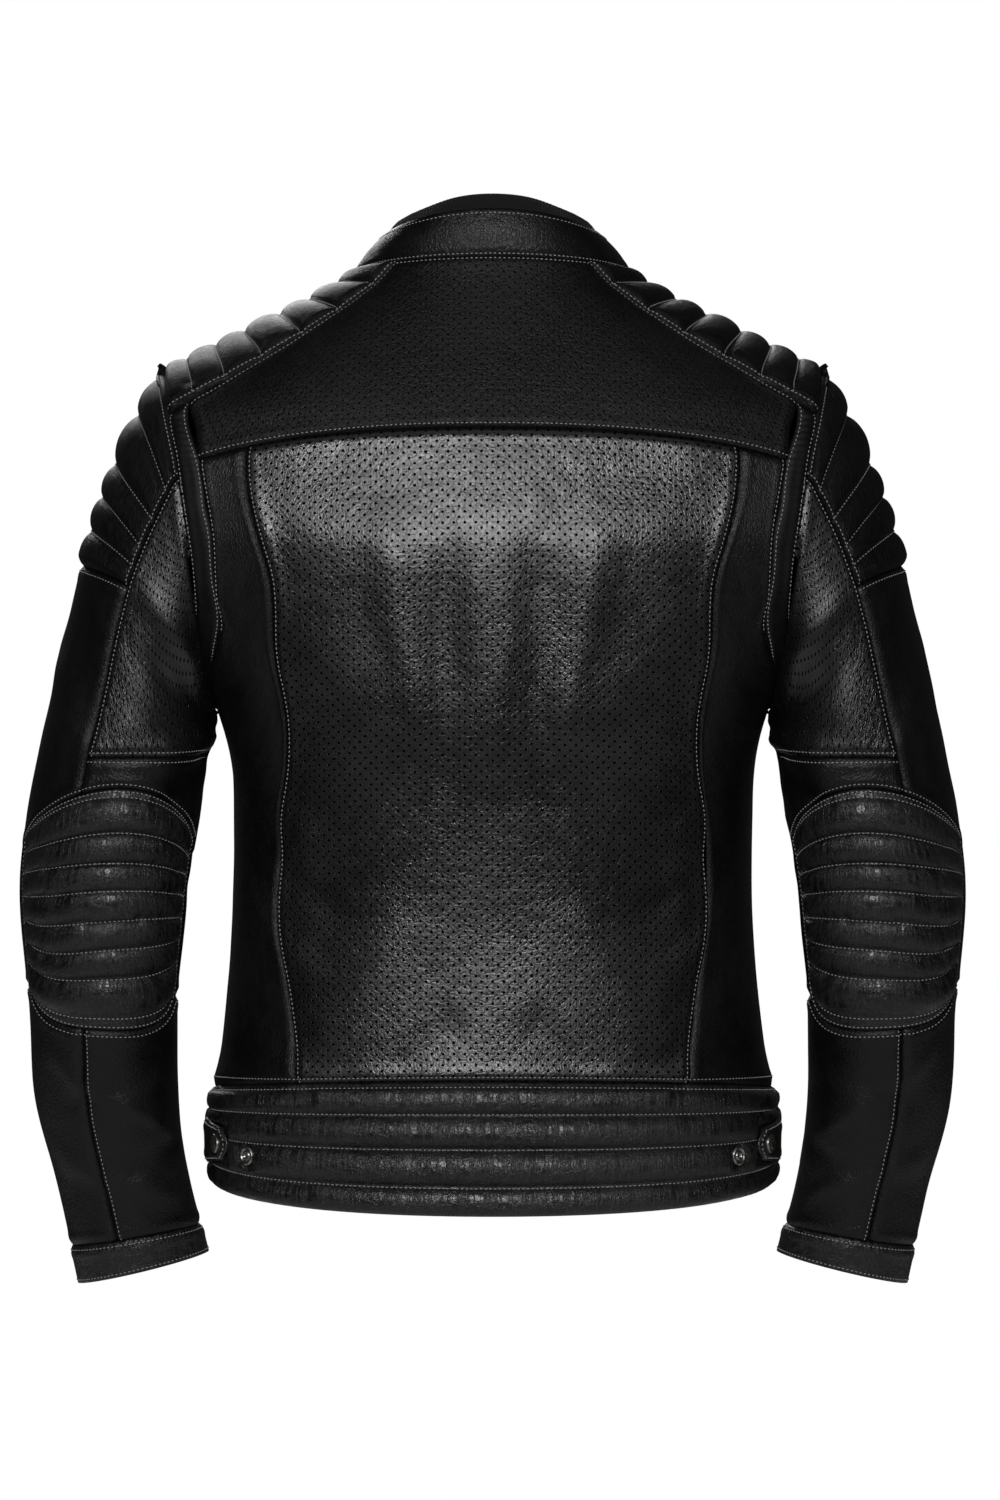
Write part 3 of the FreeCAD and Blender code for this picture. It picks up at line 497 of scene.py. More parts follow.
def puff(surface, place, side, distance, pressure, growth):
    """Cloth simulation of a sewn pad: pinned along its seams, it swells and gathers between them."""
    sheet = Sheet(surface, place, CLOTH_PITCH, side)
    nu, nv = sheet.counts
    mesh = bpy.data.meshes.new("pad")
    points = sheet.base.reshape(-1, 3) * CLOTH_SCALE
    mesh.from_pydata([tuple(p) for p in points.tolist()], [], grid_faces(nu, nv, 0, sheet.flip))
    pad = bpy.data.objects.new("pad", mesh)
    scene = bpy.context.scene
    scene.collection.objects.link(pad)
    held = (distance(sheet) < CLOTH_PITCH * 0.52).ravel()
    pins = pad.vertex_groups.new(name="sewn")
    pins.add([int(k) for k in np.nonzero(held)[0]], 1.0, "REPLACE")
    cloth = pad.modifiers.new("cloth", "CLOTH")
    for key, value in CLOTH.items():
        setattr(cloth.settings, key, value)
    cloth.settings.shrink_min = -growth
    cloth.settings.shrink_max = -growth
    cloth.settings.uniform_pressure_force = pressure
    cloth.settings.effector_weights.gravity = 0
    cloth.point_cache.frame_start, cloth.point_cache.frame_end = 1, CLOTH_FRAMES
    for frame_number in range(1, CLOTH_FRAMES + 1):
        scene.frame_set(frame_number)
    worn = pad.evaluated_get(bpy.context.evaluated_depsgraph_get()).to_mesh()
    moved = np.empty(len(worn.vertices) * 3)
    worn.vertices.foreach_get("co", moved)
    bpy.data.objects.remove(pad)
    bpy.data.meshes.remove(mesh)
    scene.frame_set(1)
    shift = moved.reshape(nu, nv, 3) / CLOTH_SCALE - sheet.base
    length = np.linalg.norm(shift, axis=-1, keepdims=True)
    return shift * np.minimum(1.0, REACH / np.maximum(length, 1e-6))


STITCH_SIDES, STITCH_PITCH, STITCH_LENGTH, STITCH_RADIUS, THREAD_RISE = 5, 3.2, 1.9, 0.42, 0.12
# One thread from end to end: place along it, width and rise, as shares of its length and radius.
STITCH = ((-0.5, 0.0, -0.5), (-0.38, 0.85, -0.1), (0.0, 1.0, 0.12), (0.38, 0.85, -0.1), (0.5, 0.0, -0.5))


def stitch_faces():
    """The faces of one thread: a fan at each end and two rings of quads between."""
    last = 1 + 3 * STITCH_SIDES
    rows = [[0]] + [list(range(r, r + STITCH_SIDES)) for r in range(1, last, STITCH_SIDES)] + [[last]]
    faces = []
    for low, high in zip(rows, rows[1:]):
        for m in range(STITCH_SIDES):
            n = (m + 1) % STITCH_SIDES
            if len(low) == 1:
                faces.append((low[0], high[n], high[m]))
            elif len(high) == 1:
                faces.append((low[m], low[n], high[0]))
            else:
                faces.append((low[m], low[n], high[n], high[m]))
    return faces


def stitch_mesh(points, normals):
    """One row of short rounded threads along a line of surface points."""
    steps = np.linalg.norm(np.diff(points, axis=0), axis=1)
    reach = np.concatenate([[0], np.cumsum(steps)])
    count = int(reach[-1] / STITCH_PITCH)
    if count < 2:
        return np.zeros((0, 3)), []
    starts = (np.arange(count) + 0.5) * reach[-1] / count

    def at(values, where):
        return np.stack([np.interp(where, reach, values[:, k]) for k in range(3)], axis=-1)

    ahead, behind = at(points, starts + STITCH_LENGTH / 2), at(points, starts - STITCH_LENGTH / 2)
    centre, up = (ahead + behind) / 2, at(normals, starts)
    axis = ahead - behind
    axis /= np.maximum(np.linalg.norm(axis, axis=-1, keepdims=True), 1e-9)
    up -= axis * (up * axis).sum(-1, keepdims=True)
    up /= np.maximum(np.linalg.norm(up, axis=-1, keepdims=True), 1e-9)
    side = np.cross(axis, up)
    verts = []
    for place, wide, rise in STITCH:
        for m in range(1 if wide == 0 else STITCH_SIDES):
            turn = 2 * math.pi * m / STITCH_SIDES
            out = side * (math.cos(turn) * wide * STITCH_RADIUS)
            high = up * (math.sin(turn) * wide * STITCH_RADIUS + rise * STITCH_RADIUS)
            verts.append(centre + axis * (place * STITCH_LENGTH) + (out + high))
    per, pattern = len(verts), stitch_faces()
    faces = [tuple(c + k * per for c in face) for k in range(count) for face in pattern]
    return np.stack(verts, axis=1).reshape(-1, 3), faces


def line_to_grid(sheet, edge, inset, start=0.0, end=1.0):
    """A line of u and v that runs beside one edge of a sheet, a set distance in."""
    t = np.linspace(start, end, 160)
    if edge in ("left", "right"):
        width = np.interp(t, sheet.v[0], sheet.s[-1])
        u = inset / np.maximum(width, 1e-6)
        return (u if edge == "left" else 1 - u), t
    height = np.interp(t, sheet.u[:, 0], sheet.t[:, -1])
    v = inset / np.maximum(height, 1e-6)
    return t, (v if edge == "bottom" else 1 - v)


# ------------------------------------------------------------------ materials


class Nodes:
    """Short helpers for building one material's node tree."""

    def __init__(self, name):
        self.material = bpy.data.materials.new(name)
        self.material.use_nodes = True
        self.tree = self.material.node_tree
        self.shader = self.tree.nodes["Principled BSDF"]
        self.uv = self.node("ShaderNodeUVMap", uv_map="flat").outputs[0]
        self.bump_from = None

    def node(self, kind, **values):
        made = self.tree.nodes.new(kind)
        for key, value in values.items():
            if hasattr(made, key):
                setattr(made, key, value)
            else:
                made.inputs[key].default_value = value
        return made

    def link(self, source, target):
        self.tree.links.new(source, target)

    def set(self, **values):
        """Numbers on the shader's own sockets, such as Sheen_Weight."""
        for key, value in values.items():
            self.shader.inputs[key.replace("_", " ")].default_value = value

    def math(self, operation, first, second=None):
        made = self.node("ShaderNodeMath", operation=operation)
        for socket, value in zip(made.inputs, (first, second)):
            if isinstance(value, (int, float)):
                socket.default_value = value
            elif value is not None:
                self.link(value, socket)
        return made.outputs[0]

    def shares(self, first, second, share):
        """A weighted mean of two values."""
        return self.math("ADD", self.math("MULTIPLY", first, share), self.math("MULTIPLY", second, 1 - share))

    def scaled_uv(self, x, y, z=0.0):
        mapping = self.node("ShaderNodeMapping", Scale=(x, y, 1), Location=(z, z * 0.7, z))
        self.link(self.uv, mapping.inputs["Vector"])
        return mapping.outputs[0]

    def noise(self, vector, scale=1.0, detail=4.0, rough=0.5):
        made = self.node("ShaderNodeTexNoise", Scale=scale, Detail=detail, Roughness=rough)
        self.link(vector, made.inputs["Vector"])
        return made.outputs["Fac"]

    def cells(self, vector, scale=1.0, feature="F1"):
        made = self.node("ShaderNodeTexVoronoi", feature=feature, Scale=scale)
        self.link(vector, made.inputs["Vector"])
        return made.outputs["Distance"]

    def split_uv(self):
        split = self.node("ShaderNodeSeparateXYZ")
        self.link(self.uv, split.inputs[0])
        return split.outputs

    def wave(self, axis, period):
        return self.math("SINE", self.math("MULTIPLY", self.split_uv()[axis], 2 * math.pi / period))

    def ramp(self, value, low, high, low_out=0.0, high_out=1.0):
        made = self.node("ShaderNodeMapRange", interpolation_type="SMOOTHSTEP")
        self.link(value, made.inputs["Value"])
        for key, number in zip(("From Min", "From Max", "To Min", "To Max"), (low, high, low_out, high_out)):
            made.inputs[key].default_value = number
        return made.outputs["Result"]

    def mix(self, value, dark, light):
        """The base colour between two colours, either of which may come from another node."""
        made = self.node("ShaderNodeMix", data_type="RGBA")
        self.link(value, made.inputs[0])
        for socket, colour in ((made.inputs[6], dark), (made.inputs[7], light)):
            if isinstance(colour, tuple):
                socket.default_value = (*colour, 1)
            else:
                self.link(colour, socket)
        self.link(made.outputs[2], self.shader.inputs["Base Color"])
        return made.outputs[2]

    def bump(self, height, distance, strength=1.0):
        made = self.node("ShaderNodeBump", Distance=distance, Strength=strength)
        self.link(height, made.inputs["Height"])
        if self.bump_from is not None:
            self.link(self.bump_from, made.inputs["Normal"])
        self.bump_from = made.outputs[0]
        self.link(self.bump_from, self.shader.inputs["Normal"])

    def roughness(self, value, low, high):
        self.link(self.ramp(value, 0.25, 0.75, low, high), self.shader.inputs["Roughness"])

    def dots(self, pitch, radius):
        """A staggered field of round holes: 1 inside a hole and 0 outside."""
        x, y = self.split_uv()[:2]
        row = self.math("DIVIDE", y, pitch * 0.5)
        whole = self.math("ROUND", row)
        odd = self.math("MULTIPLY", self.math("FLOORED_MODULO", whole, 2.0), 0.5)
        column = self.math("ADD", self.math("DIVIDE", x, pitch), odd)
        dx = self.math("SUBTRACT", column, self.math("ROUND", column))
        dy = self.math("MULTIPLY", self.math("SUBTRACT", row, whole), 0.5)
        square = self.math("ADD", self.math("MULTIPLY", dx, dx), self.math("MULTIPLY", dy, dy))
        distance = self.math("MULTIPLY", self.math("SQRT", square), pitch)
        return self.ramp(distance, radius * 0.75, radius * 1.2, 1.0, 0.0)


def leather(name, dark, light, rough, pebble=0.0, pores=None, creases=(), shine=0.5, seed=0.0):
    """Grained black leather with soft wear; pores are punched holes, painted near-black with no specular as
    the shade inside them, and creases are short cracks.
    """
    nodes = Nodes(name)
    broad = nodes.noise(nodes.scaled_uv(14, 11, seed), 1.0, 3.0, 0.55)
    cloud = nodes.noise(nodes.scaled_uv(75, 75, seed), 1.0, 4.0, 0.6)
    grain = nodes.noise(nodes.scaled_uv(1300, 1300), 1.0, 3.0, 0.6)
    tone = nodes.shares(broad, cloud, 0.6)
    nodes.bump(tone, 0.0035, 0.45)
    if pebble:
        cells = nodes.ramp(nodes.cells(nodes.scaled_uv(330, 270, seed), 1.0, "DISTANCE_TO_EDGE"), 0.0, 0.22)
        small = nodes.ramp(nodes.cells(nodes.scaled_uv(720, 640, seed), 1.0, "DISTANCE_TO_EDGE"), 0.0, 0.25)
        nodes.bump(nodes.shares(cells, small, 0.7), pebble, 0.7)
    nodes.bump(grain, 0.0001, 0.6)
    nodes.roughness(tone, *rough)
    for x, y, depth, glow in creases:
        warped = nodes.noise(nodes.scaled_uv(x, y, 3.1 + seed), 1.0, 5.0, 0.66)
        fold = nodes.math("ABSOLUTE", nodes.math("SUBTRACT", warped, 0.5))
        nodes.bump(nodes.ramp(fold, 0.0, 0.06), depth, 0.8)
        tone = nodes.math("ADD", tone, nodes.ramp(fold, 0.0, 0.035, glow, 0.0))
    colour = nodes.mix(nodes.ramp(tone, 0.35, 0.8), dark, light)
    nodes.set(Specular_IOR_Level=shine)
    if pores:
        hole = nodes.dots(*pores)
        # Painted shade: each punched hole gets a near-black colour and no specular, in place of the shade
        # inside a real hole.
        nodes.mix(hole, colour, HOLE_SHADE)
        nodes.link(nodes.ramp(hole, 0.0, 0.6, shine, 0.0), nodes.shader.inputs["Specular IOR Level"])
        nodes.bump(nodes.math("SUBTRACT", 1.0, hole), 0.0006, 0.8)
    return nodes.material


def thread_material(name):
    nodes = Nodes(name)
    nodes.mix(nodes.noise(nodes.scaled_uv(900, 900), 1.0, 2.0), (0.15, 0.147, 0.143), (0.30, 0.293, 0.286))
    nodes.set(Roughness=0.55)
    return nodes.material


def knit_material(name):
    nodes = Nodes(name)
    nodes.bump(nodes.wave(0, 0.0026), 0.0004, 0.8)
    nodes.bump(nodes.wave(1, 0.0018), 0.00015, 0.6)
    nodes.mix(nodes.noise(nodes.scaled_uv(700, 700), 1.0, 3.0), (0.0035, 0.0035, 0.004), (0.010, 0.010,
                                                                                          0.011))
    nodes.set(Roughness=0.95, Specular_IOR_Level=0.2, Sheen_Weight=0.05)
    return nodes.material


def mesh_material(name):
    nodes = Nodes(name)
    nodes.mix(nodes.noise(nodes.scaled_uv(600, 600), 1.0, 2.0), (0.012, 0.012, 0.013), (0.03, 0.03, 0.032))
    nodes.bump(nodes.math("SUBTRACT", 1.0, nodes.dots(0.0034, 0.0009)), 0.0005)
    nodes.set(Roughness=0.85)
    return nodes.material


def tape_material(name):
    nodes = Nodes(name)
    nodes.bump(nodes.wave(1, 0.0012), 0.0002, 0.7)
    nodes.mix(nodes.noise(nodes.scaled_uv(800, 300), 1.0, 2.0), (0.006, 0.006, 0.006), (0.016, 0.016, 0.016))
    nodes.set(Roughness=0.9)
    return nodes.material


def metal_material(name):
    """Antiqued metal: its patina follows position, so it needs no UV map."""
    nodes = Nodes(name)
    where = nodes.node("ShaderNodeTexCoord").outputs["Object"]
    stain = nodes.noise(where, 320.0, 5.0, 0.65)
    scratch = nodes.noise(where, 1500.0, 3.0, 0.5)
    nodes.mix(nodes.ramp(stain, 0.35, 0.65), (0.10, 0.097, 0.092), (0.34, 0.33, 0.31))
    nodes.roughness(scratch, 0.24, 0.46)
    nodes.bump(scratch, 0.00004, 0.5)
    nodes.set(Metallic=1.0)
    return nodes.material


def foam_material(name):
    nodes = Nodes(name)
    cells = nodes.cells(nodes.node("ShaderNodeTexCoord").outputs["Object"], 700.0)
    nodes.mix(cells, (0.10, 0.10, 0.10), (0.2, 0.2, 0.2))
    nodes.bump(cells, 0.0004, 0.6)
    nodes.set(Roughness=0.95)
    return nodes.material


# The near-black third colour is painted shade, standing in for the dark inside a punched hole.
DARK, LIGHT, HOLE_SHADE = (0.0016, 0.0015, 0.0015), (0.006, 0.0058, 0.0057), (0.0002, 0.0002, 0.0002)
# Dark and light colour, roughness range, then pebble depth, hole pitch and radius, creases, shine and seed.
LEATHERS = {
    "perforated_leather": ((0.002, 0.0019, 0.0019), LIGHT, (0.25, 0.39), 0.00016, (0.0076, 0.00085)),
    "yoke_leather": (DARK, LIGHT, (0.42, 0.58), 0.00035, (0.0076, 0.0006), (), 0.17, 2.0),
    "smooth_leather": (DARK, LIGHT, (0.34, 0.54), 0.0003, None, (), 0.24, 5.0),
    "quilted_leather": (DARK, LIGHT, (0.36, 0.54), 0.0003, None, ((330, 50, 0.0003, 0.04),), 0.15, 9.0),
    "waxed_leather": (DARK, (0.012, 0.0116, 0.0113), (0.23, 0.38), 0.0001, None,
                      ((210, 26, 0.0002, 0.30), (50, 110, 0.00016, 0.22)), 0.38, 13.0),
    "stretch_panel": (DARK, LIGHT, (0.5, 0.65), 0.0, None, (), 0.2, 17.0),
}
FINISHES = {"collar_knit": knit_material, "lining_mesh": mesh_material, "zip_tape": tape_material,
            "gunmetal": metal_material, "foam": foam_material, "thread": thread_material}
MATERIALS = {name: leather(name, *values) for name, values in LEATHERS.items()}
MATERIALS.update({name: make(name) for name, make in FINISHES.items()})


# ------------------------------------------------------------------ a finished panel


def edge_roll(sheet, seams):
    """Leather dips into its seams and swells a little beside the stitching."""
    total = np.zeros(sheet.counts)
    for edge in seams:
        near = sheet.edges[edge]
        total += -1.7 * np.exp(-((near / 1.8) ** 2)) + 0.5 * np.exp(-(((near - 6.5) / 3.0) ** 2))
        total += -0.35 * np.exp(-(((near - 3.2) / 0.9) ** 2))
    return total


def stitches(sheet, rows, lines):
    """The thread meshes of a panel: rows run beside its edges and lines are places of their own."""
    threads = [line_to_grid(sheet, edge, inset, *rest) for edge, inset, *rest in rows]
    threads += [line(sheet) for line in lines]
    for u, v in threads:
        verts, quads = stitch_mesh(*sheet.sample(np.asarray(u, float), np.asarray(v, float), THREAD_RISE))
        if len(verts):
            yield verts, quads


def swollen(sheet, surface, place, side, sewn, pad):
    """A pad's rise over its sewn lines, and the shift that the cloth simulation gives it."""
    near = sewn(sheet)
    height = -0.75 * np.exp(-((near / 1.25) ** 2))
    coarse = puff(surface, place, side, sewn, pad["pressure"], pad["growth"])
    return height, upsample(coarse, sheet.counts)


def build_panel(name, surface, place, side, slot, height=0.0, relief=None, drape=None, pitch=3.0, thick=1.8,
                seams=("left", "right", "bottom", "top"), rows=(), lines=(), node=None, fill=None,
                sewn=None, pad=None, outside=None):
    """One sewn panel with its thickness, relief and topstitching."""
    sheet = Sheet(surface, place, pitch, side)
    total = np.full(sheet.counts, float(height)) + edge_roll(sheet, seams)
    if drape is not None:
        total = total + drape(sheet.first, sheet.second, side)
    if relief is not None:
        total = total + relief(sheet)
    shift = None
    if sewn is not None:
        swell, shift = swollen(sheet, surface, place, side, sewn, pad)
        total = total + swell
    sheet.lift(total, shift)
    nu, nv = sheet.counts
    under = sheet.base + sheet.normal * (np.minimum(total, height) - thick)[..., None]
    cloud = [sheet.top.reshape(-1, 3), under.reshape(-1, 3)]
    count = nu * nv
    faces = grid_faces(nu, nv, 0, sheet.flip) + grid_faces(nu, nv, count, not sheet.flip)
    rim = rim_faces(nu, nv, count)
    faces += [face[::-1] for face in rim] if sheet.flip else rim
    uvs = [sheet.flat.reshape(-1, 2)] * 2
    slots = [0] * len(faces)
    materials = [slot, "thread"]
    if outside is not None:
        beyond = outside[1](sheet)
        middle = (beyond[:-1, :-1] + beyond[1:, 1:]) / 2
        slots[:middle.size] = [2 if value < 0 else 0 for value in middle.ravel()]
        materials.append(outside[0])
    offset = 2 * count
    for verts, quads in stitches(sheet, rows, lines):
        cloud.append(verts)
        uvs.append(verts[:, (0, 2)])
        faces += [tuple(c + offset for c in quad) for quad in quads]
        slots += [1] * len(quads)
        offset += len(verts)
    made = make_object(name, np.vstack(cloud), faces, np.vstack(uvs), slots)
    for material in materials:
        made.data.materials.append(MATERIALS[material])
    if node:
        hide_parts(node)
    return made


def centre_panel(name, surface, place, slot, **options):
    """A panel across the middle of the body."""
    made = build_panel(name, surface, place, 1.0, slot, **options)
    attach(made, "jacket")
    return made


def both_sides(name, surface, place, slot, follow, **options):
    """The panel on the left and on the right, each of which stands for its own CAD node."""
    for letter, side in SIDES.items():
        made = build_panel(name + "_leather_" + letter, surface, place, side, slot,
                           node=name + "_" + letter, **options)
        follow(made, letter)


SEAM_IN = 3.2
DOUBLE_IN = 8.6
PANEL_SEAM = ((168, -131), (155.5, -209), (147, -290), (145, -380), (148, -440), (141, -505), (135, -571))
GUSSET_LOW, YOKE_SIDE, YOKE_NECK_SHARE = -262.0, -138.0, 0.42
SHOULDER_BACK, SHOULDER_FRONT, NECK_BACK, NECK_FRONT = 57.0, 123.0, 50.0, 128.0
SHOULDER_SEAM = ((50.5, -82.0), (48.8, -45.0))
SHOULDER_FRONT_SEAM = ((130.5, -50.0), (129.5, -80.0))
FRONT_SPLIT, FRONT_ARM_TOP = 140.0, -110.0
FRONT_SEAM_POINTS = ((143, -450), (142, -300), (141, -180), (136, -90))


def pair_at(x, z):
    return float(back_at(x, z)), z


def on_jacket(piece, letter):
    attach(piece, "jacket")


def on_forearm(piece, letter):
    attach(piece, "forearm_" + letter)


def on_tab(piece, letter):
    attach(piece, "waist_tab_" + letter)


def over_shoulder(piece, letter):
    """The sleeve's surface already turns smoothly away from the armhole; this only bakes the panel's
    placement into its mesh.
    """
    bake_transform(piece)


def over_elbow(piece, letter):
    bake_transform(piece)


# ------------------------------------------------------------------ body panels


def mirrored(edge):
    """The same edge on the other side of the body."""

    def place(t):
        first, second = edge(t)
        return -first, second

    return place


def gusset_edge(low, high, steps):
    return [pair_at(float(gusset_x(z)), z) for z in np.linspace(low, high, steps + 1)]


def shoulder_back_edge():
    """The seam over the back of the shoulder, from the collar to the armhole."""
    arm = (SHOULDER_BACK, float(shoulder_edge(SHOULDER_BACK)))
    return curve((NECK_BACK, float(neck_line(NECK_BACK))), *reversed(SHOULDER_SEAM), arm)


def gusset_share():
    """The share of the shoulder seam at which the gusset begins."""
    seam = shoulder_back_edge()

    def inside(t):
        first, second = seam(t)
        return torso(first, second)[..., 0] < gusset_x(second)

    return float(bisect(0.5, 1.0, inside))


def back_panels():
    seam = curve(*[pair_at(x, z) for x, z in reversed(PANEL_SEAM)])
    low_angle, high_angle = float(seam(0.0)[0]), float(seam(1.0)[0])
    low, high = along(band_line, -low_angle, low_angle), along(yoke_line, -high_angle, high_angle)
    centre_panel("back_panel_leather", torso, patch(low, high, mirrored(seam), seam), "perforated_leather",
                 drape=body_drape_both, pitch=2.4, node="back_panel",
                 rows=(("left", SEAM_IN), ("right", SEAM_IN), ("bottom", SEAM_IN)))
    wide = pair_at(float(gusset_x(YOKE_SIDE)), YOKE_SIDE)[0]
    points = [(90, float(band_line(90))), (90, -460), (90, -380), (86, -318)]
    points += gusset_edge(GUSSET_LOW, YOKE_SIDE, 4)[:-1] + [(wide, float(yoke_line(wide)))]
    place = patch(along(band_line, low_angle, 90), along(yoke_line, high_angle, wide), seam, curve(*points))
    both_sides("side_back", torso, place, "smooth_leather", on_jacket, drape=body_drape, pitch=2.8,
               rows=(("right", SEAM_IN, 0.52, 1.0), ("bottom", SEAM_IN)))


def gussets(seam, share, corner):
    """The ribbed strip between the back and the armhole."""
    inner = curve((84.5, -317.0), *gusset_edge(GUSSET_LOW, corner[1], 4))
    heights = np.linspace(-316.0, float(shoulder_edge(SHOULDER_BACK)), 9)
    wider = 5.0 * np.exp(-(((heights + 268.0) / 32.0) ** 2))
    outer = curve(*[pair_at(float(armhole_x(z)) + more, z) for z, more in zip(heights, wider)])
    low = curve([float(c) for c in inner(0.0)], [float(c) for c in outer(0.0)])
    middle = [float(c) for c in seam((1 + share) / 2)]
    high = curve([float(c) for c in inner(1.0)], middle, [float(c) for c in outer(1.0)])

    def ribs(sheet):
        return -0.8 + 0.35 * np.sin(2 * np.pi * sheet.t / 5.0)

    both_sides("gusset", torso, patch(low, high, inner, outer), "stretch_panel", on_jacket, relief=ribs,
               drape=body_drape, pitch=1.8, rows=(("left", 2.4), ("right", 2.4)))


def yoke_and_gusset():
    share, seam = gusset_share(), shoulder_back_edge()
    corner = [float(c) for c in seam(share)]
    gussets(seam, share, corner)
    wide = pair_at(float(gusset_x(YOKE_SIDE)), YOKE_SIDE)[0]
    right = curve((wide, float(yoke_line(wide))), *gusset_edge(YOKE_SIDE, corner[1], 2)[1:])

    def top_edge(t):
        """From one gusset over the shoulder seams and the collar seam to the other gusset."""
        turn = 2 * np.asarray(t, float) - 1
        angle = NECK_BACK * np.clip(turn / YOKE_NECK_SHARE, -1, 1)
        past_neck = np.clip((np.abs(turn) - YOKE_NECK_SHARE) / (1 - YOKE_NECK_SHARE), 0, 1)
        first, second = seam(share * past_neck)
        beside = np.abs(turn) < YOKE_NECK_SHARE
        return np.where(beside, angle, np.sign(turn) * first), np.where(beside, neck_line(angle), second)

    place = patch(along(yoke_line, -wide, wide), top_edge, mirrored(right), right)
    yoke = centre_panel("back_yoke_leather", torso, place, "yoke_leather", drape=body_drape_both, pitch=2.4,
                        rows=(("bottom", SEAM_IN), ("top", SEAM_IN)), node="back_yoke")


def body_drape_both(angle, z, side):
    """Drape of a panel that runs across the middle: each half follows its own side."""
    left = body_drape(np.maximum(angle, 0), z, 1.0)
    right = body_drape(np.minimum(angle, 0), z, -1.0)
    share = smoothstep(-12, 12, angle)
    return left * share + right * (1 - share)


def sewn_rows(shares, frame_edges=("left", "right", "bottom", "top")):
    """Distance in millimetres to the nearest sewn channel line or seam of a pad."""

    def distance(sheet):
        length = sheet.t[:, -1:]
        rows = [np.abs(sheet.v - share) * length for share in shares[1:-1]]
        return np.minimum.reduce(rows + [sheet.edges[name] for name in frame_edges])

    return distance


def row_lines(shares, start=0.015, end=0.985):
    """Stitch lines along the sewn channels."""

    def make(share):
        t = np.linspace(start, end, 200)
        return lambda sheet: (t, np.full_like(t, share))

    return [make(share) for share in shares[1:-1]]


# Rise of a pad without the simulation, and the pressure and growth of the cloth with it.
SOFT_PAD = {"rise": 1.7, "pressure": 1.7, "growth": 0.03}
FLAT_PAD = {"rise": 2.4, "pressure": 3.0, "growth": 0.05}


def shoulders():
    neck = along(neck_line, NECK_BACK, NECK_FRONT)
    arm = along(shoulder_edge, SHOULDER_BACK, SHOULDER_FRONT)
    front = curve([float(c) for c in neck(1.0)], *SHOULDER_FRONT_SEAM, [float(c) for c in arm(1.0)])
    shares = np.linspace(0, 1, 8)
    both_sides("shoulder_quilt", torso, patch(neck, arm, shoulder_back_edge(), front), "quilted_leather",
               on_jacket, fill=0.6, height=0.4, pitch=1.7, rows=(("left", 2.6), ("right", 2.6)),
               lines=row_lines(shares), sewn=sewn_rows(shares), pad=SOFT_PAD)


def zip_dip(sheet):
    """The front side panel sinks a little along the pocket zip."""
    across = (sheet.first - 128.0) * 2.6
    beside = smoothstep(-555, -545, sheet.second) * (1 - smoothstep(-436, -428, sheet.second))
    return -2.2 * np.exp(-((across / 7.0) ** 4)) * beside


def fronts():
    zip_edge = 180 - math.degrees(math.asin(ZIP_HALF / float(half_width(-300.0))))
    neck_corner = (NECK_FRONT, float(neck_line(NECK_FRONT)))
    split = curve((FRONT_SPLIT, float(band_line(FRONT_SPLIT))), *FRONT_SEAM_POINTS, neck_corner)
    right = curve((zip_edge, float(band_line(zip_edge))), (zip_edge, float(neck_line(zip_edge))))
    low, high = along(band_line, FRONT_SPLIT, zip_edge), along(neck_line, NECK_FRONT, zip_edge)
    both_sides("front_panel", torso, patch(low, high, split, right), "smooth_leather", on_jacket,
               drape=front_drape, pitch=3.2,
               rows=(("left", SEAM_IN), ("right", SEAM_IN), ("right", DOUBLE_IN), ("bottom", SEAM_IN)))
    heights = (-300.0, -255.0, -200.0, -160.0, FRONT_ARM_TOP)
    arm_points = [(180 - float(back_at(armhole_x(z), z)), z) for z in heights]
    outer = curve((90, float(band_line(90))), (90, -460), (90, -380), *arm_points)
    top = curve(arm_points[-1], *reversed(SHOULDER_FRONT_SEAM), neck_corner)
    both_sides("front_side", torso, patch(along(band_line, 90, FRONT_SPLIT), top, outer, split),
               "smooth_leather", on_jacket, drape=front_drape, relief=zip_dip, pitch=3.2,
               rows=(("bottom", SEAM_IN), ("top", SEAM_IN)))


def front_drape(angle, z, side):
    """The front hangs in softer folds that die out beside the zip."""
    calm = 1 - smoothstep(160, 176, np.abs(angle))
    waves = 1.8 * layered(angle / 18.0 + 5 * side, z / 120.0 + 2, 2) * calm
    where = smoothstep(60, 150, -z) * smoothstep(88, 100, np.abs(angle))
    return waves * where + body_drape(angle, z, side) * 0.4


BAND_SHARES = (0.0, 0.205, 0.49, 0.755, 0.955, 1.0)


def waistband():
    def creases(sheet):
        return 0.35 * layered(sheet.s / 4.2, sheet.t / 30.0, 3)

    rows = sewn_rows(BAND_SHARES, ("top", "bottom"))

    def sewn(sheet):
        """The band is pressed flat under its studs and under its tabs."""
        turn = np.abs(sheet.first)
        stud = np.hypot((turn - STUD_ANGLE) * 3.3, sheet.second - STUD_Z) - 7.0
        beside = np.maximum(TAB["neck"] - 2.5 - turn, turn - 92.0) * 2.8
        tab = np.maximum(beside, np.abs(sheet.second - TAB["z"]) - 12.0)
        return np.minimum(rows(sheet), np.maximum(np.minimum(stud, tab), 0.0))

    shared = {"height": 0.5, "relief": creases, "sewn": sewn, "pad": FLAT_PAD, "fill": 0.4}
    centre_panel("waistband_back_leather", torso, between(hem_line, band_line, -89, 89), "waxed_leather",
                 drape=body_drape_both, pitch=1.8, seams=("top",), lines=row_lines(BAND_SHARES, 0.0, 1.0),
                 node="waistband_back", **shared)
    both_sides("waistband_front", torso, between(hem_line, band_line, 89, 176), "waxed_leather", on_jacket,
               drape=body_drape, pitch=2.2, seams=("right", "top"), lines=row_lines(BAND_SHARES, 0.0, 0.98),
               rows=(("right", 3.0),), **shared)


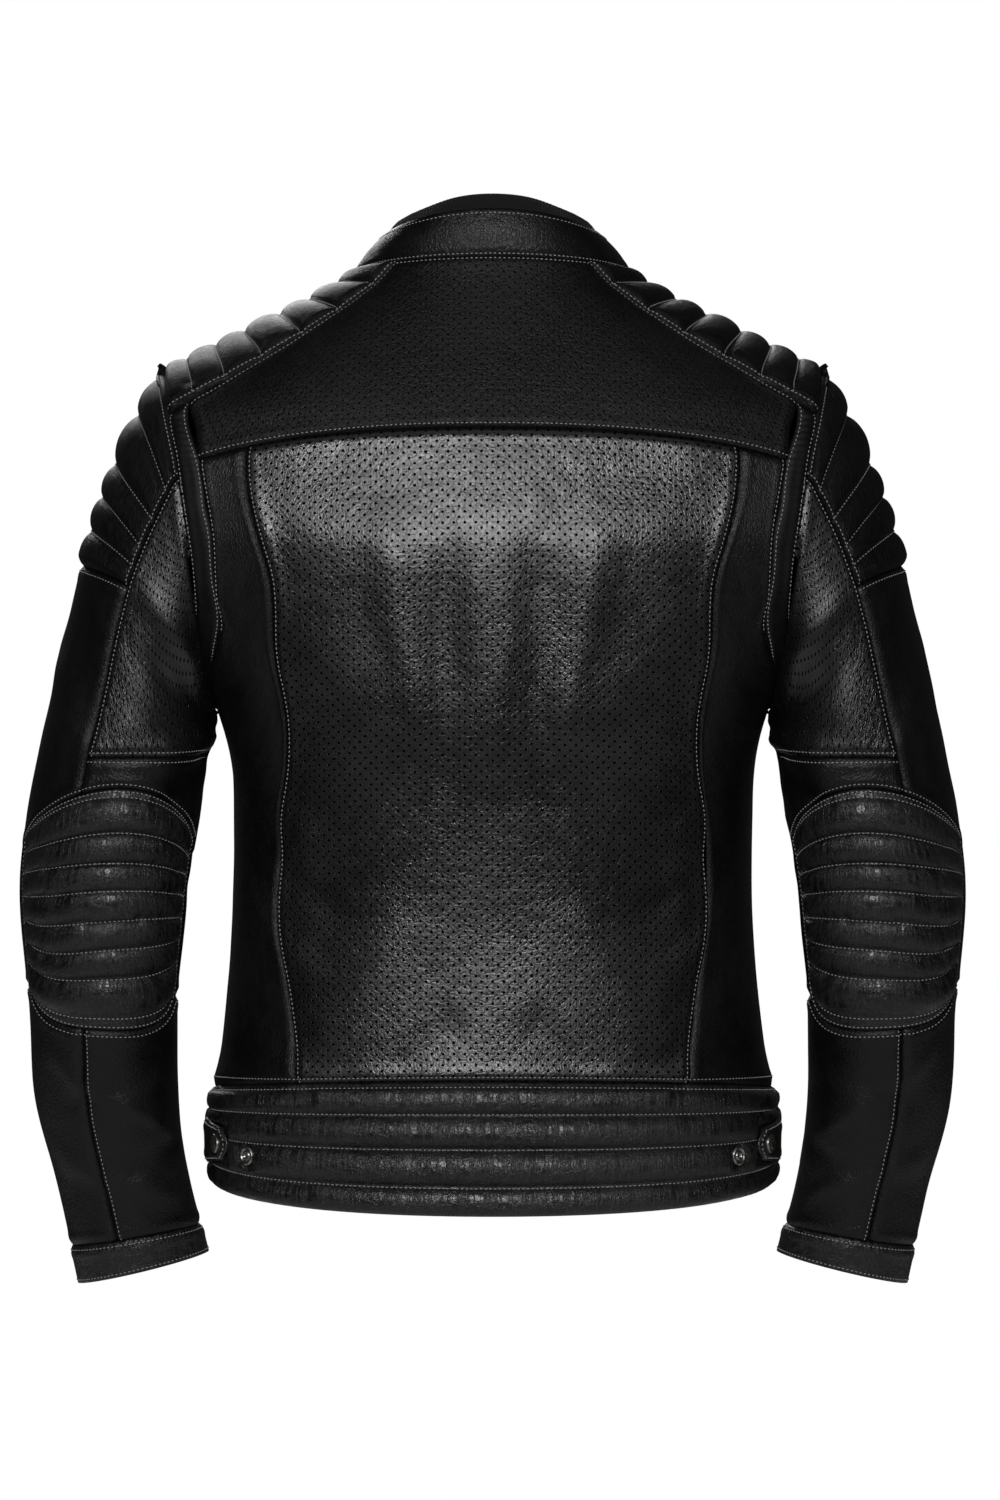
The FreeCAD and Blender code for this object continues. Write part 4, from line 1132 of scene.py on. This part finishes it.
def collars():
    end = 172.0
    centre_panel("collar_leather", collar, block(-end, end, -0.1, 1), "smooth_leather", pitch=2.0, thick=2.6,
                 seams=("bottom",), rows=(("top", 3.0), ("bottom", 3.4), ("left", 3.0), ("right", 3.0)),
                 node="collar_shell")

    def rounded(sheet):
        ribs = 0.25 * np.sin(2 * np.pi * sheet.s / 3.2)
        return -3.2 + ribs - 1.6 * np.exp(-((sheet.edges["top"] / 1.6) ** 2))

    tall = 1 + KNIT_RISE / COLLAR_HEIGHT
    centre_panel("collar_knit_band", collar, block(-end, end, 0.02, tall), "collar_knit", relief=rounded,
                 pitch=1.6, thick=2.6, seams=(), node="collar_liner")


BODY_LINING_DEPTH, FOAM_DEPTH = 12.0, 4.4


def grooves(sheet):
    """A grid of shallow cuts that lets the foam bend."""
    across = np.abs(np.sin(np.pi * sheet.s / 18.0))
    upward = np.abs(np.sin(np.pi * sheet.t / 18.0))
    return -1.4 * np.exp(-((np.minimum(across, upward) / 0.14) ** 2))


def linings():
    shared = {"height": -BODY_LINING_DEPTH, "pitch": 5.0, "thick": 0.8, "seams": ()}
    back = ruled(curve((-84, -640), (84, -640)), curve((-44, -150), (44, -150)))
    centre_panel("lining_back_mesh", torso, back, "lining_mesh", node="lining_back", **shared)
    front = ruled(curve((96, -630), (174, -630)), curve((137, -150), (174, -150)))
    both_sides("lining_front", torso, front, "lining_mesh", on_jacket, **shared)
    pad = ruled(curve((-26, -520), (26, -520)), curve((-24, -150), (24, -150)))
    centre_panel("back_protector_foam", torso, pad, "foam", height=-FOAM_DEPTH, relief=grooves, pitch=3.0,
                 thick=FOAM_DEPTH, seams=(), node="back_protector", fill=1.0)


# ------------------------------------------------------------------ sleeves

# Seams of the sleeve by angle, then ends of its panels by ring.
BACK_SEAM, UNDER_SEAM, FRONT_SEAM, FOREARM_SEAM, FOREARM_FRONT = 66.0, 176.0, -62.0, 75.0, -110.0
ELBOW_START, ELBOW_END = 14.0, 168.0
CAP_END, UNDER_SPLIT, CROOK_END, PATCH_END, CUFF_START, CUFF_END = 2.15, 3.9, 6.8, 7.15, 9.62, 10.0
CROSS_DROP = 345.0
LINING_DEPTH = 5.0


def cap_end(angle):
    return CAP_END - 0.5 * (np.abs(angle) / BACK_SEAM) ** 2


def patch_end(angle):
    middle = (ELBOW_START + ELBOW_END) / 2
    return PATCH_END - (PATCH_END - CROOK_END) * (np.abs(angle - middle) / (ELBOW_END - middle)) ** 3


def below_elbow(angle):
    """The seam under the elbow patch and the crook."""
    angle = np.asarray(angle, float)
    return np.where((angle > ELBOW_START) & (angle < ELBOW_END), patch_end(angle), CROOK_END)


def flat_ring(value):
    return lambda angle: np.full(np.shape(angle), float(value))


def cross_seam(angle):
    """The level seam across the back of the sleeve, above the elbow patch."""
    return ring_at_drop(angle, CROSS_DROP)


def tuck_under(sheet):
    """The cap's armhole edge is turned in below the shoulder quilt."""
    return -2.2 * np.exp(-((sheet.edges["bottom"] / 4.0) ** 2))


def upper_sleeves():
    start, end, under_end = FRONT_SEAM, BACK_SEAM, 360 + FRONT_SEAM
    shares = np.linspace(0, 1, 7)
    both_sides("sleeve_cap", sleeve, between(flat_ring(0.02), cap_end, start, end), "quilted_leather",
               over_shoulder, fill=0.6, height=0.4, relief=tuck_under, pitch=1.7,
               rows=(("left", 2.6), ("right", 2.6)), lines=row_lines(shares), sewn=sewn_rows(shares),
               pad=SOFT_PAD)
    both_sides("sleeve_outer", sleeve, between(cap_end, elbow_ring, start, end), "smooth_leather", over_elbow,
               drape=sleeve_drape, pitch=2.4, rows=(("bottom", SEAM_IN), ("top", SEAM_IN), ("left", SEAM_IN)))
    both_sides("sleeve_back", sleeve, between(flat_ring(0.0), cross_seam, BACK_SEAM, UNDER_SEAM),
               "perforated_leather", over_shoulder, drape=sleeve_drape, pitch=2.2,
               rows=(("left", SEAM_IN), ("top", SEAM_IN)))
    split = flat_ring(UNDER_SPLIT)
    both_sides("sleeve_under", sleeve, between(flat_ring(0.0), split, UNDER_SEAM, under_end),
               "smooth_leather",
               over_shoulder, drape=sleeve_drape, pitch=3.0, seams=("left", "right", "bottom"))
    lining = {"height": -LINING_DEPTH, "pitch": 5.0, "thick": 0.7, "seams": ()}
    both_sides("sleeve_lining", sleeve, between(flat_ring(0.25), split, -179, 179), "lining_mesh",
               over_shoulder, **lining)
    elbow_parts = (
        ("elbow_strip_leather_", between(cross_seam, elbow_ring, BACK_SEAM, UNDER_SEAM), "smooth_leather",
         {"drape": sleeve_drape, "pitch": 2.2, "rows": (("top", SEAM_IN), ("bottom", SEAM_IN))}),
        ("sleeve_crook_leather_", between(split, elbow_ring, UNDER_SEAM, under_end), "smooth_leather",
         {"drape": sleeve_drape, "pitch": 3.0, "seams": ("left", "right")}),
        ("forearm_lining_mesh_", between(split, flat_ring(CUFF_START - 0.1), -179, 179), "lining_mesh",
         lining),
    )
    for letter, side in SIDES.items():
        for name, place, slot, options in elbow_parts:
            over_elbow(build_panel(name + letter, sleeve, place, side, slot, **options), letter)


# Channel lines of the elbow patch, set so that they look evenly spaced down the arm.
ELBOW_SHARES = (0.085, 0.242, 0.403, 0.551, 0.671, 0.763, 0.846, 0.925)
BORDER, CORNER, OUTER_CORNER = 7.5, 17.0, 7.0


def elbow_row(share, u):
    """A channel of the elbow patch sags a little in its middle and lifts towards the outer edge."""
    return share + 0.03 * (4 * u * (1 - u) - 1) * np.sin(np.pi * share) - 0.012 * (1 - u)


def middle_size(sheet):
    """Width and height of a panel along its middle lines."""
    width = np.interp(0.5, sheet.v[0], sheet.s[-1])
    return float(width), float(np.interp(0.5, sheet.u[:, 0], sheet.t[:, -1]))


def rounded_depth(sheet, inset, corner):
    """Distance in from a rounded outline that lies a set inset inside the panel's edge."""
    width, height = middle_size(sheet)
    corner = np.where(sheet.u < 0.5, OUTER_CORNER, corner)
    x = np.minimum(sheet.u, 1 - sheet.u) * width - inset
    y = np.minimum(sheet.v, 1 - sheet.v) * height - inset
    in_corner = (x < corner) & (y < corner)
    return np.where(in_corner, corner - np.hypot(corner - x, corner - y), np.minimum(x, y))


def rounded_line(inset, corner):
    """Stitches along that rounded outline."""

    def line(sheet):
        width, height = middle_size(sheet)
        turn = np.linspace(0, math.pi / 2, 14)
        xs, ys = [], []
        for k, (right, high) in enumerate(((True, True), (False, True), (False, False), (True, False))):
            bend = corner if right else OUTER_CORNER
            cx = width - inset - bend if right else inset + bend
            cy = height - inset - bend if high else inset + bend
            xs.append(cx + bend * np.cos(turn + k * math.pi / 2))
            ys.append(cy + bend * np.sin(turn + k * math.pi / 2))
        x, y = np.concatenate(xs + [xs[0][:1]]), np.concatenate(ys + [ys[0][:1]])
        reach = np.concatenate([[0], np.cumsum(np.hypot(np.diff(x), np.diff(y)))])
        t = np.linspace(0, reach[-1], 400)
        return np.interp(t, reach, x) / width, np.interp(t, reach, y) / height

    return line


def elbow_sewn(sheet):
    height = middle_size(sheet)[1]
    border = rounded_depth(sheet, BORDER, CORNER)
    rows = [np.abs(sheet.v - elbow_row(share, sheet.u)) * height for share in ELBOW_SHARES[1:-1]]
    return np.where(border > 0, np.minimum.reduce(rows + [border]), 0.0)


def elbow_lines():
    def make(share):
        def line(sheet):
            edge = (BORDER + 0.5) / middle_size(sheet)[0]
            u = np.linspace(edge, 1 - edge, 200)
            return u, elbow_row(share, u)

        return line

    borders = [rounded_line(2.6, 20.0), rounded_line(BORDER, CORNER)]
    return [make(share) for share in ELBOW_SHARES[1:-1]] + borders


def forearms():
    both_sides("elbow_patch", sleeve, between(elbow_ring, patch_end, ELBOW_START, ELBOW_END), "waxed_leather",
               over_elbow, fill=0.55, height=0.9, pitch=1.6, lines=elbow_lines(), sewn=elbow_sewn,
               pad=FLAT_PAD,
               outside=("smooth_leather", lambda sheet: rounded_depth(sheet, 1.0, 21.0)))
    plain = {"drape": sleeve_drape, "pitch": 2.4}
    both_sides("forearm_crook", sleeve, between(elbow_ring, flat_ring(CROOK_END), ELBOW_END - 360,
                                                ELBOW_START),
               "smooth_leather", over_elbow, seams=("left", "right", "top"), **plain)
    cuff, front, wrap = flat_ring(CUFF_START), FOREARM_FRONT, FOREARM_FRONT + 360
    both_sides("forearm_outer", sleeve, between(below_elbow, cuff, front, FOREARM_SEAM), "smooth_leather",
               on_forearm, rows=(("bottom", SEAM_IN),), **plain)
    both_sides("forearm_inner", sleeve, between(below_elbow, cuff, FOREARM_SEAM, wrap), "smooth_leather",
               on_forearm, rows=(("left", SEAM_IN), ("bottom", SEAM_IN)), **plain)
    both_sides("cuff_band", sleeve, between(cuff, flat_ring(CUFF_END), front, wrap), "waxed_leather",
               on_forearm, height=0.5, pitch=1.8, seams=("bottom",), rows=(("bottom", 2.8), ("top", 2.4)))


TAB = {"root": 86.0, "tip": 67.4, "neck": 70.6, "z": -613.0, "low": -624.5, "high": -601.5,
       "root_low": -628.5, "root_high": -597.5}


def waist_tabs():
    tip = curve((TAB["neck"], TAB["low"]), (TAB["tip"] + 0.6, TAB["z"] - 5), (TAB["tip"], TAB["z"]),
                (TAB["tip"] + 0.6, TAB["z"] + 5), (TAB["neck"], TAB["high"]))
    root = curve((TAB["root"], TAB["root_low"]), (TAB["root"], TAB["root_high"]))
    low, high = curve(tip(0.0), root(0.0)), curve(tip(1.0), root(1.0))
    both_sides("waist_tab", torso, patch(low, high, tip, root), "waxed_leather", on_tab, height=3.4,
               pitch=1.0,
               thick=2.2, seams=("left", "bottom", "top"),
               rows=(("left", 2.4, 0.08, 0.92), ("bottom", 2.4, 0.03, 1.0), ("top", 2.4, 0.03, 1.0)))


# ------------------------------------------------------------------ metal fittings, zips and the hang loop


def frame_at(point, up, out):
    """Axes of a fitting: across, away from the jacket, and up along it."""
    across = np.cross(out, up)
    across /= np.linalg.norm(across)
    out = np.cross(up, across)
    return np.asarray(point), across, out / np.linalg.norm(out), up / np.linalg.norm(up)


def lathe(name, profile, point, across, out, up, side, segments=48):
    """A turned fitting that stands along its outward axis."""
    turn = np.linspace(0, 2 * math.pi, segments, endpoint=False)[:, None]
    rings = []
    for radius, height in profile:
        rings.append(point + out * height + across * (radius * np.cos(turn)) + up * (radius * np.sin(turn)))
    faces = []
    for k in range(len(profile) - 1):
        for m in range(segments):
            n = (m + 1) % segments
            a, b = k * segments, (k + 1) * segments
            quad = (a + m, a + n, b + n, b + m)
            faces.append(quad if side < 0 else quad[::-1])
    made = make_object(name, np.vstack(rings) * np.array([side, 1.0, 1.0]), faces)
    made.data.materials.append(MATERIALS["gunmetal"])
    return made


RING_STUD = ((6.8, -0.8), (6.8, 0.7), (6.5, 1.3), (5.9, 1.75), (5.2, 1.85), (4.7, 1.6), (4.35, 0.9),
             (3.9, 0.6),
             (3.45, 0.65), (3.3, 1.3), (2.9, 1.75), (2.3, 1.85), (1.8, 1.6), (1.6, 0.5), (0.05, 0.35))
SNAP_CAP = ((6.6, -0.8), (6.6, 0.9), (6.4, 1.4), (5.9, 1.85), (5.2, 2.0), (4.8, 1.85), (4.5, 1.85), (4.1,
                                                                                                     2.15),
            (2.6, 2.55), (1.2, 2.7), (0.05, 2.75))
STUD_ANGLE, STUD_Z, SNAP_ANGLE = 58.5, -619.0, 72.5


def on_torso(angle, z, lift):
    normal = normals_of(torso, np.array(angle), np.array(z))
    up = torso(angle, z + 1.0) - torso(angle, z - 1.0)
    return frame_at(torso(angle, z) + normal * lift, up, normal)


def snaps():
    for letter, side in SIDES.items():
        ring = lathe("ring_stud_metal_" + letter, RING_STUD, *on_torso(STUD_ANGLE, STUD_Z, 1.2), side)
        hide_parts("waist_ring_stud_" + letter)
        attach(ring, "jacket")
        cap = lathe("tab_snap_metal_" + letter, SNAP_CAP, *on_torso(SNAP_ANGLE, TAB["z"], 3.5), side)
        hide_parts("waist_tab_snap_" + letter)
        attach(cap, "waist_tab_" + letter)


MAIN_ZIP_LOW = -638.0
TOOTH = ((0.25, -0.65, 0.0), (2.7, -0.5, 0.0), (2.7, 0.5, 0.0), (0.25, 0.65, 0.0),
         (-0.55, -0.45, 1.3), (2.3, -0.4, 1.3), (2.3, 0.4, 1.3), (-0.55, 0.45, 1.3))
TOOTH_FACES = ((4, 5, 6, 7), (0, 1, 5, 4), (1, 2, 6, 5), (2, 3, 7, 6), (3, 0, 4, 7), (0, 3, 2, 1))


def zip_teeth(start, end, out, size, pitch):
    """Two rows of interlocked metal teeth along a straight line."""
    point, across, out, up = frame_at(start, end - start, out)
    length = float(np.linalg.norm(end - start))
    count = int(length / pitch)
    cloud, faces = [], []
    for k in range(2 * count):
        hand = 1.0 if k % 2 else -1.0
        middle = point + up * ((k * 0.5 + 0.5) * pitch)
        corners = [middle + across * (hand * x * size) + up * (y * size) + out * (h * size)
                   for x, y, h in TOOTH]
        base = 8 * k
        cloud += corners
        for face in TOOTH_FACES:
            turned = tuple(base + c for c in face)
            faces.append(turned if hand > 0 else turned[::-1])
    return np.array(cloud), faces


def zip_piece(name, node, body, start, end, out, side, size, pitch, tape_half=0.0, slot="zip_tape"):
    """Teeth with their woven tape; the tape's surface runs beside the teeth."""
    point, across, out, up = frame_at(start, end - start, out)
    cloud, faces = zip_teeth(start, end, out, size, pitch)
    slots, uvs, clouds = [0] * len(faces), [cloud[:, (0, 2)]], [cloud]
    if tape_half:
        length = float(np.linalg.norm(end - start))
        rows = int(length / 3)
        for layer, drop in enumerate((-0.15, -0.9)):
            width, reach = np.linspace(-tape_half, tape_half, 9), np.linspace(0, length, rows)
            x, t = np.meshgrid(width, reach, indexing="ij")
            sheet = point + across * x[..., None] + up * t[..., None] + out * drop
            faces += grid_faces(9, rows, sum(len(c) for c in clouds), layer == 0)
            clouds.append(sheet.reshape(-1, 3))
            uvs.append(np.stack([x, t], axis=-1).reshape(-1, 2))
        faces += rim_faces(9, rows, 9 * rows, len(cloud))
        slots += [1] * (len(faces) - len(slots))
    if side < 0:
        faces = [face[::-1] for face in faces]
    made = make_object(name, np.vstack(clouds) * np.array([side, 1.0, 1.0]), faces, np.vstack(uvs), slots)
    made.data.polygons.foreach_set("use_smooth", np.zeros(len(made.data.polygons), dtype=bool))
    made.data.materials.append(MATERIALS["gunmetal"])
    made.data.materials.append(MATERIALS["zip_tape"])
    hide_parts(node)
    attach(made, body)


def main_zip():
    lean, out = np.array([0.0, FRONT_LEAN, 1.0]), np.array([0.0, -1.0, FRONT_LEAN])
    low, high = (np.array([0.0, front_line(z), z]) for z in (MAIN_ZIP_LOW, -78.0))
    zip_piece("main_zip_metal", "main_zip_teeth", "jacket", low, high, out, 1.0, 1.0, 2.3, slot="gunmetal")

    def tape_surface(first, second):
        point = np.array([-1.0, 0, 0]) * np.asarray(first)[..., None] + lean * np.asarray(second)[..., None]
        return point + np.array([0.0, -FRONT_TOP, 0.0]) + out / np.linalg.norm(out) * -0.6

    centre_panel("main_zip_woven", tape_surface, block(-20.0, 20.0, MAIN_ZIP_LOW, -80.0), "zip_tape",
                 height=-3.0, pitch=3.0, thick=0.8, seams=(), node="main_zip_tape")


# Surface, ends and middle on it, lift, tooth size, tooth pitch and half width of the tape.
SIDE_ZIPS = {
    "pocket_zip": (torso, (128.0, -545.0), (128.0, -440.0), (128.0, -490.0), 0.5, 0.75, 1.9, 5.5),
    "cuff_zip": (sleeve, (215.0, 9.5), (215.0, 8.15), (215.0, 8.8), 2.2, 0.7, 1.8, 5.0),
}


def zips():
    main_zip()
    for letter, side in SIDES.items():
        for kind, (surface, start, end, middle, lift, *sizes) in SIDE_ZIPS.items():
            facing = normals_of(surface, *(np.array(value) for value in middle))
            body = "jacket" if kind == "pocket_zip" else "forearm_" + letter
            zip_piece(kind + "_metal_" + letter, kind + "_" + letter, body, surface(*start) + facing * lift,
                      surface(*end) + facing * lift, facing, side, *sizes)


def hang_loop():
    """A leather strap in the back of the neck that stands off between its two sewn ends."""
    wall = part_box("hang_loop")[1][1] / MM + 1.7
    xs = (-22.0, -15.0, -11.0, -9.0, 9.0, 11.0, 15.0, 22.0)
    ys = (-3.4, -1.7, -7.2, -8.0, -8.0, -7.2, -1.7, -3.4)

    def strap(first, second):
        first, second = np.broadcast_arrays(np.asarray(first, float), np.asarray(second, float))
        return np.stack([first, wall + np.interp(first, xs, ys), second], axis=-1)

    centre_panel("hang_loop_leather", strap, block(-22.0, 22.0, -4.0, 4.0), "smooth_leather", pitch=0.9,
                 thick=2.0, seams=(), rows=(("top", 1.4), ("bottom", 1.4)), node="hang_loop")


# ------------------------------------------------------------------ CAD pieces that stay


def finish_cad():
    """Give each CAD node its detailed material."""
    for part in frame["record"]["subparts"]:
        node = bpy.data.objects.get(part["node"])
        if node is not None and node.type == "MESH":
            node.data.materials.clear()
            node.data.materials.append(MATERIALS[part["material_slot"]])


# ------------------------------------------------------------------ camera, light and floor

PHOTO_HEIGHT, DISTANCE, LOOK_Z, ELEVATION = 1.0275, 9.0, -0.3425, math.radians(2.5)


def turned(thing, place, aim):
    """Stand a camera or lamp at a place and turn it towards a point."""
    thing.location = place
    thing.rotation_euler = (Vector(aim) - Vector(place)).to_track_quat("-Z", "Y").to_euler()
    bpy.context.scene.collection.objects.link(thing)


def camera():
    data = bpy.data.cameras.new("camera")
    data.sensor_fit = "VERTICAL"
    data.angle_y = 2 * math.atan(PHOTO_HEIGHT / 2 / (DISTANCE - 0.06))
    made = bpy.data.objects.new("camera", data)
    target = Vector((-0.005, -0.03, LOOK_Z))
    turned(made, target + Vector((0, math.cos(ELEVATION), math.sin(ELEVATION))) * DISTANCE, target)
    bpy.context.scene.camera = made


def studio():
    """White behind the jacket and a dim glow on it, so that the lamps shape the leather."""
    world = bpy.data.worlds.new("studio")
    world.use_nodes = True
    nodes, links = world.node_tree.nodes, world.node_tree.links
    glow, sight = nodes["Background"], nodes.new("ShaderNodeBackground")
    for background in (glow, sight):
        background.inputs[0].default_value = (1, 1, 1, 1)
    glow.inputs[1].default_value = 0.04
    mix = nodes.new("ShaderNodeMixShader")
    links.new(nodes.new("ShaderNodeLightPath").outputs["Is Camera Ray"], mix.inputs[0])
    links.new(glow.outputs[0], mix.inputs[1])
    links.new(sight.outputs[0], mix.inputs[2])
    links.new(mix.outputs[0], nodes["World Output"].inputs[0])
    bpy.context.scene.world = world
    bpy.context.scene.view_settings.view_transform = "Standard"


# Place, aim, size and power of each lamp.
LAMPS = {
    "key": ((0.14, 3.0, 0.62), (0, 0, -0.25), (0.30, 0.8), 70),
    "left": ((1.9, 2.2, 0.8), (0, 0, -0.35), (0.5, 1.4), 5),
    "right": ((-1.9, 2.2, 0.8), (0, 0, -0.35), (0.5, 1.4), 5),
    "top": ((0, 0.9, 2.2), (0, 0, -0.2), (1.6, 0.7), 3),
    "front": ((0.4, -2.4, 0.8), (0, 0, -0.3), (1.2, 1.2), 26),
}


def lights():
    for name, (place, aim, size, power) in LAMPS.items():
        data = bpy.data.lights.new(name, "AREA")
        data.shape = "RECTANGLE"
        data.size, data.size_y = size
        data.energy = power
        lamp = bpy.data.objects.new(name, data)
        lamp.visible_camera = False
        turned(lamp, place, aim)


def floor():
    bpy.ops.mesh.primitive_plane_add(size=3.0, location=(0, 0, -1.25))
    plane = bpy.context.object
    plane.name = "floor"
    paint = bpy.data.materials.new("floor")
    paint.use_nodes = True
    shader = paint.node_tree.nodes["Principled BSDF"]
    shader.inputs["Base Color"].default_value = (0.85, 0.85, 0.85, 1)
    shader.inputs["Roughness"].default_value = 0.9
    plane.data.materials.append(paint)


for build in (finish_cad, back_panels, yoke_and_gusset, shoulders, fronts, waistband, collars, linings,
              upper_sleeves, forearms, waist_tabs, snaps, zips, hang_loop, camera, studio, lights, floor):
    build()
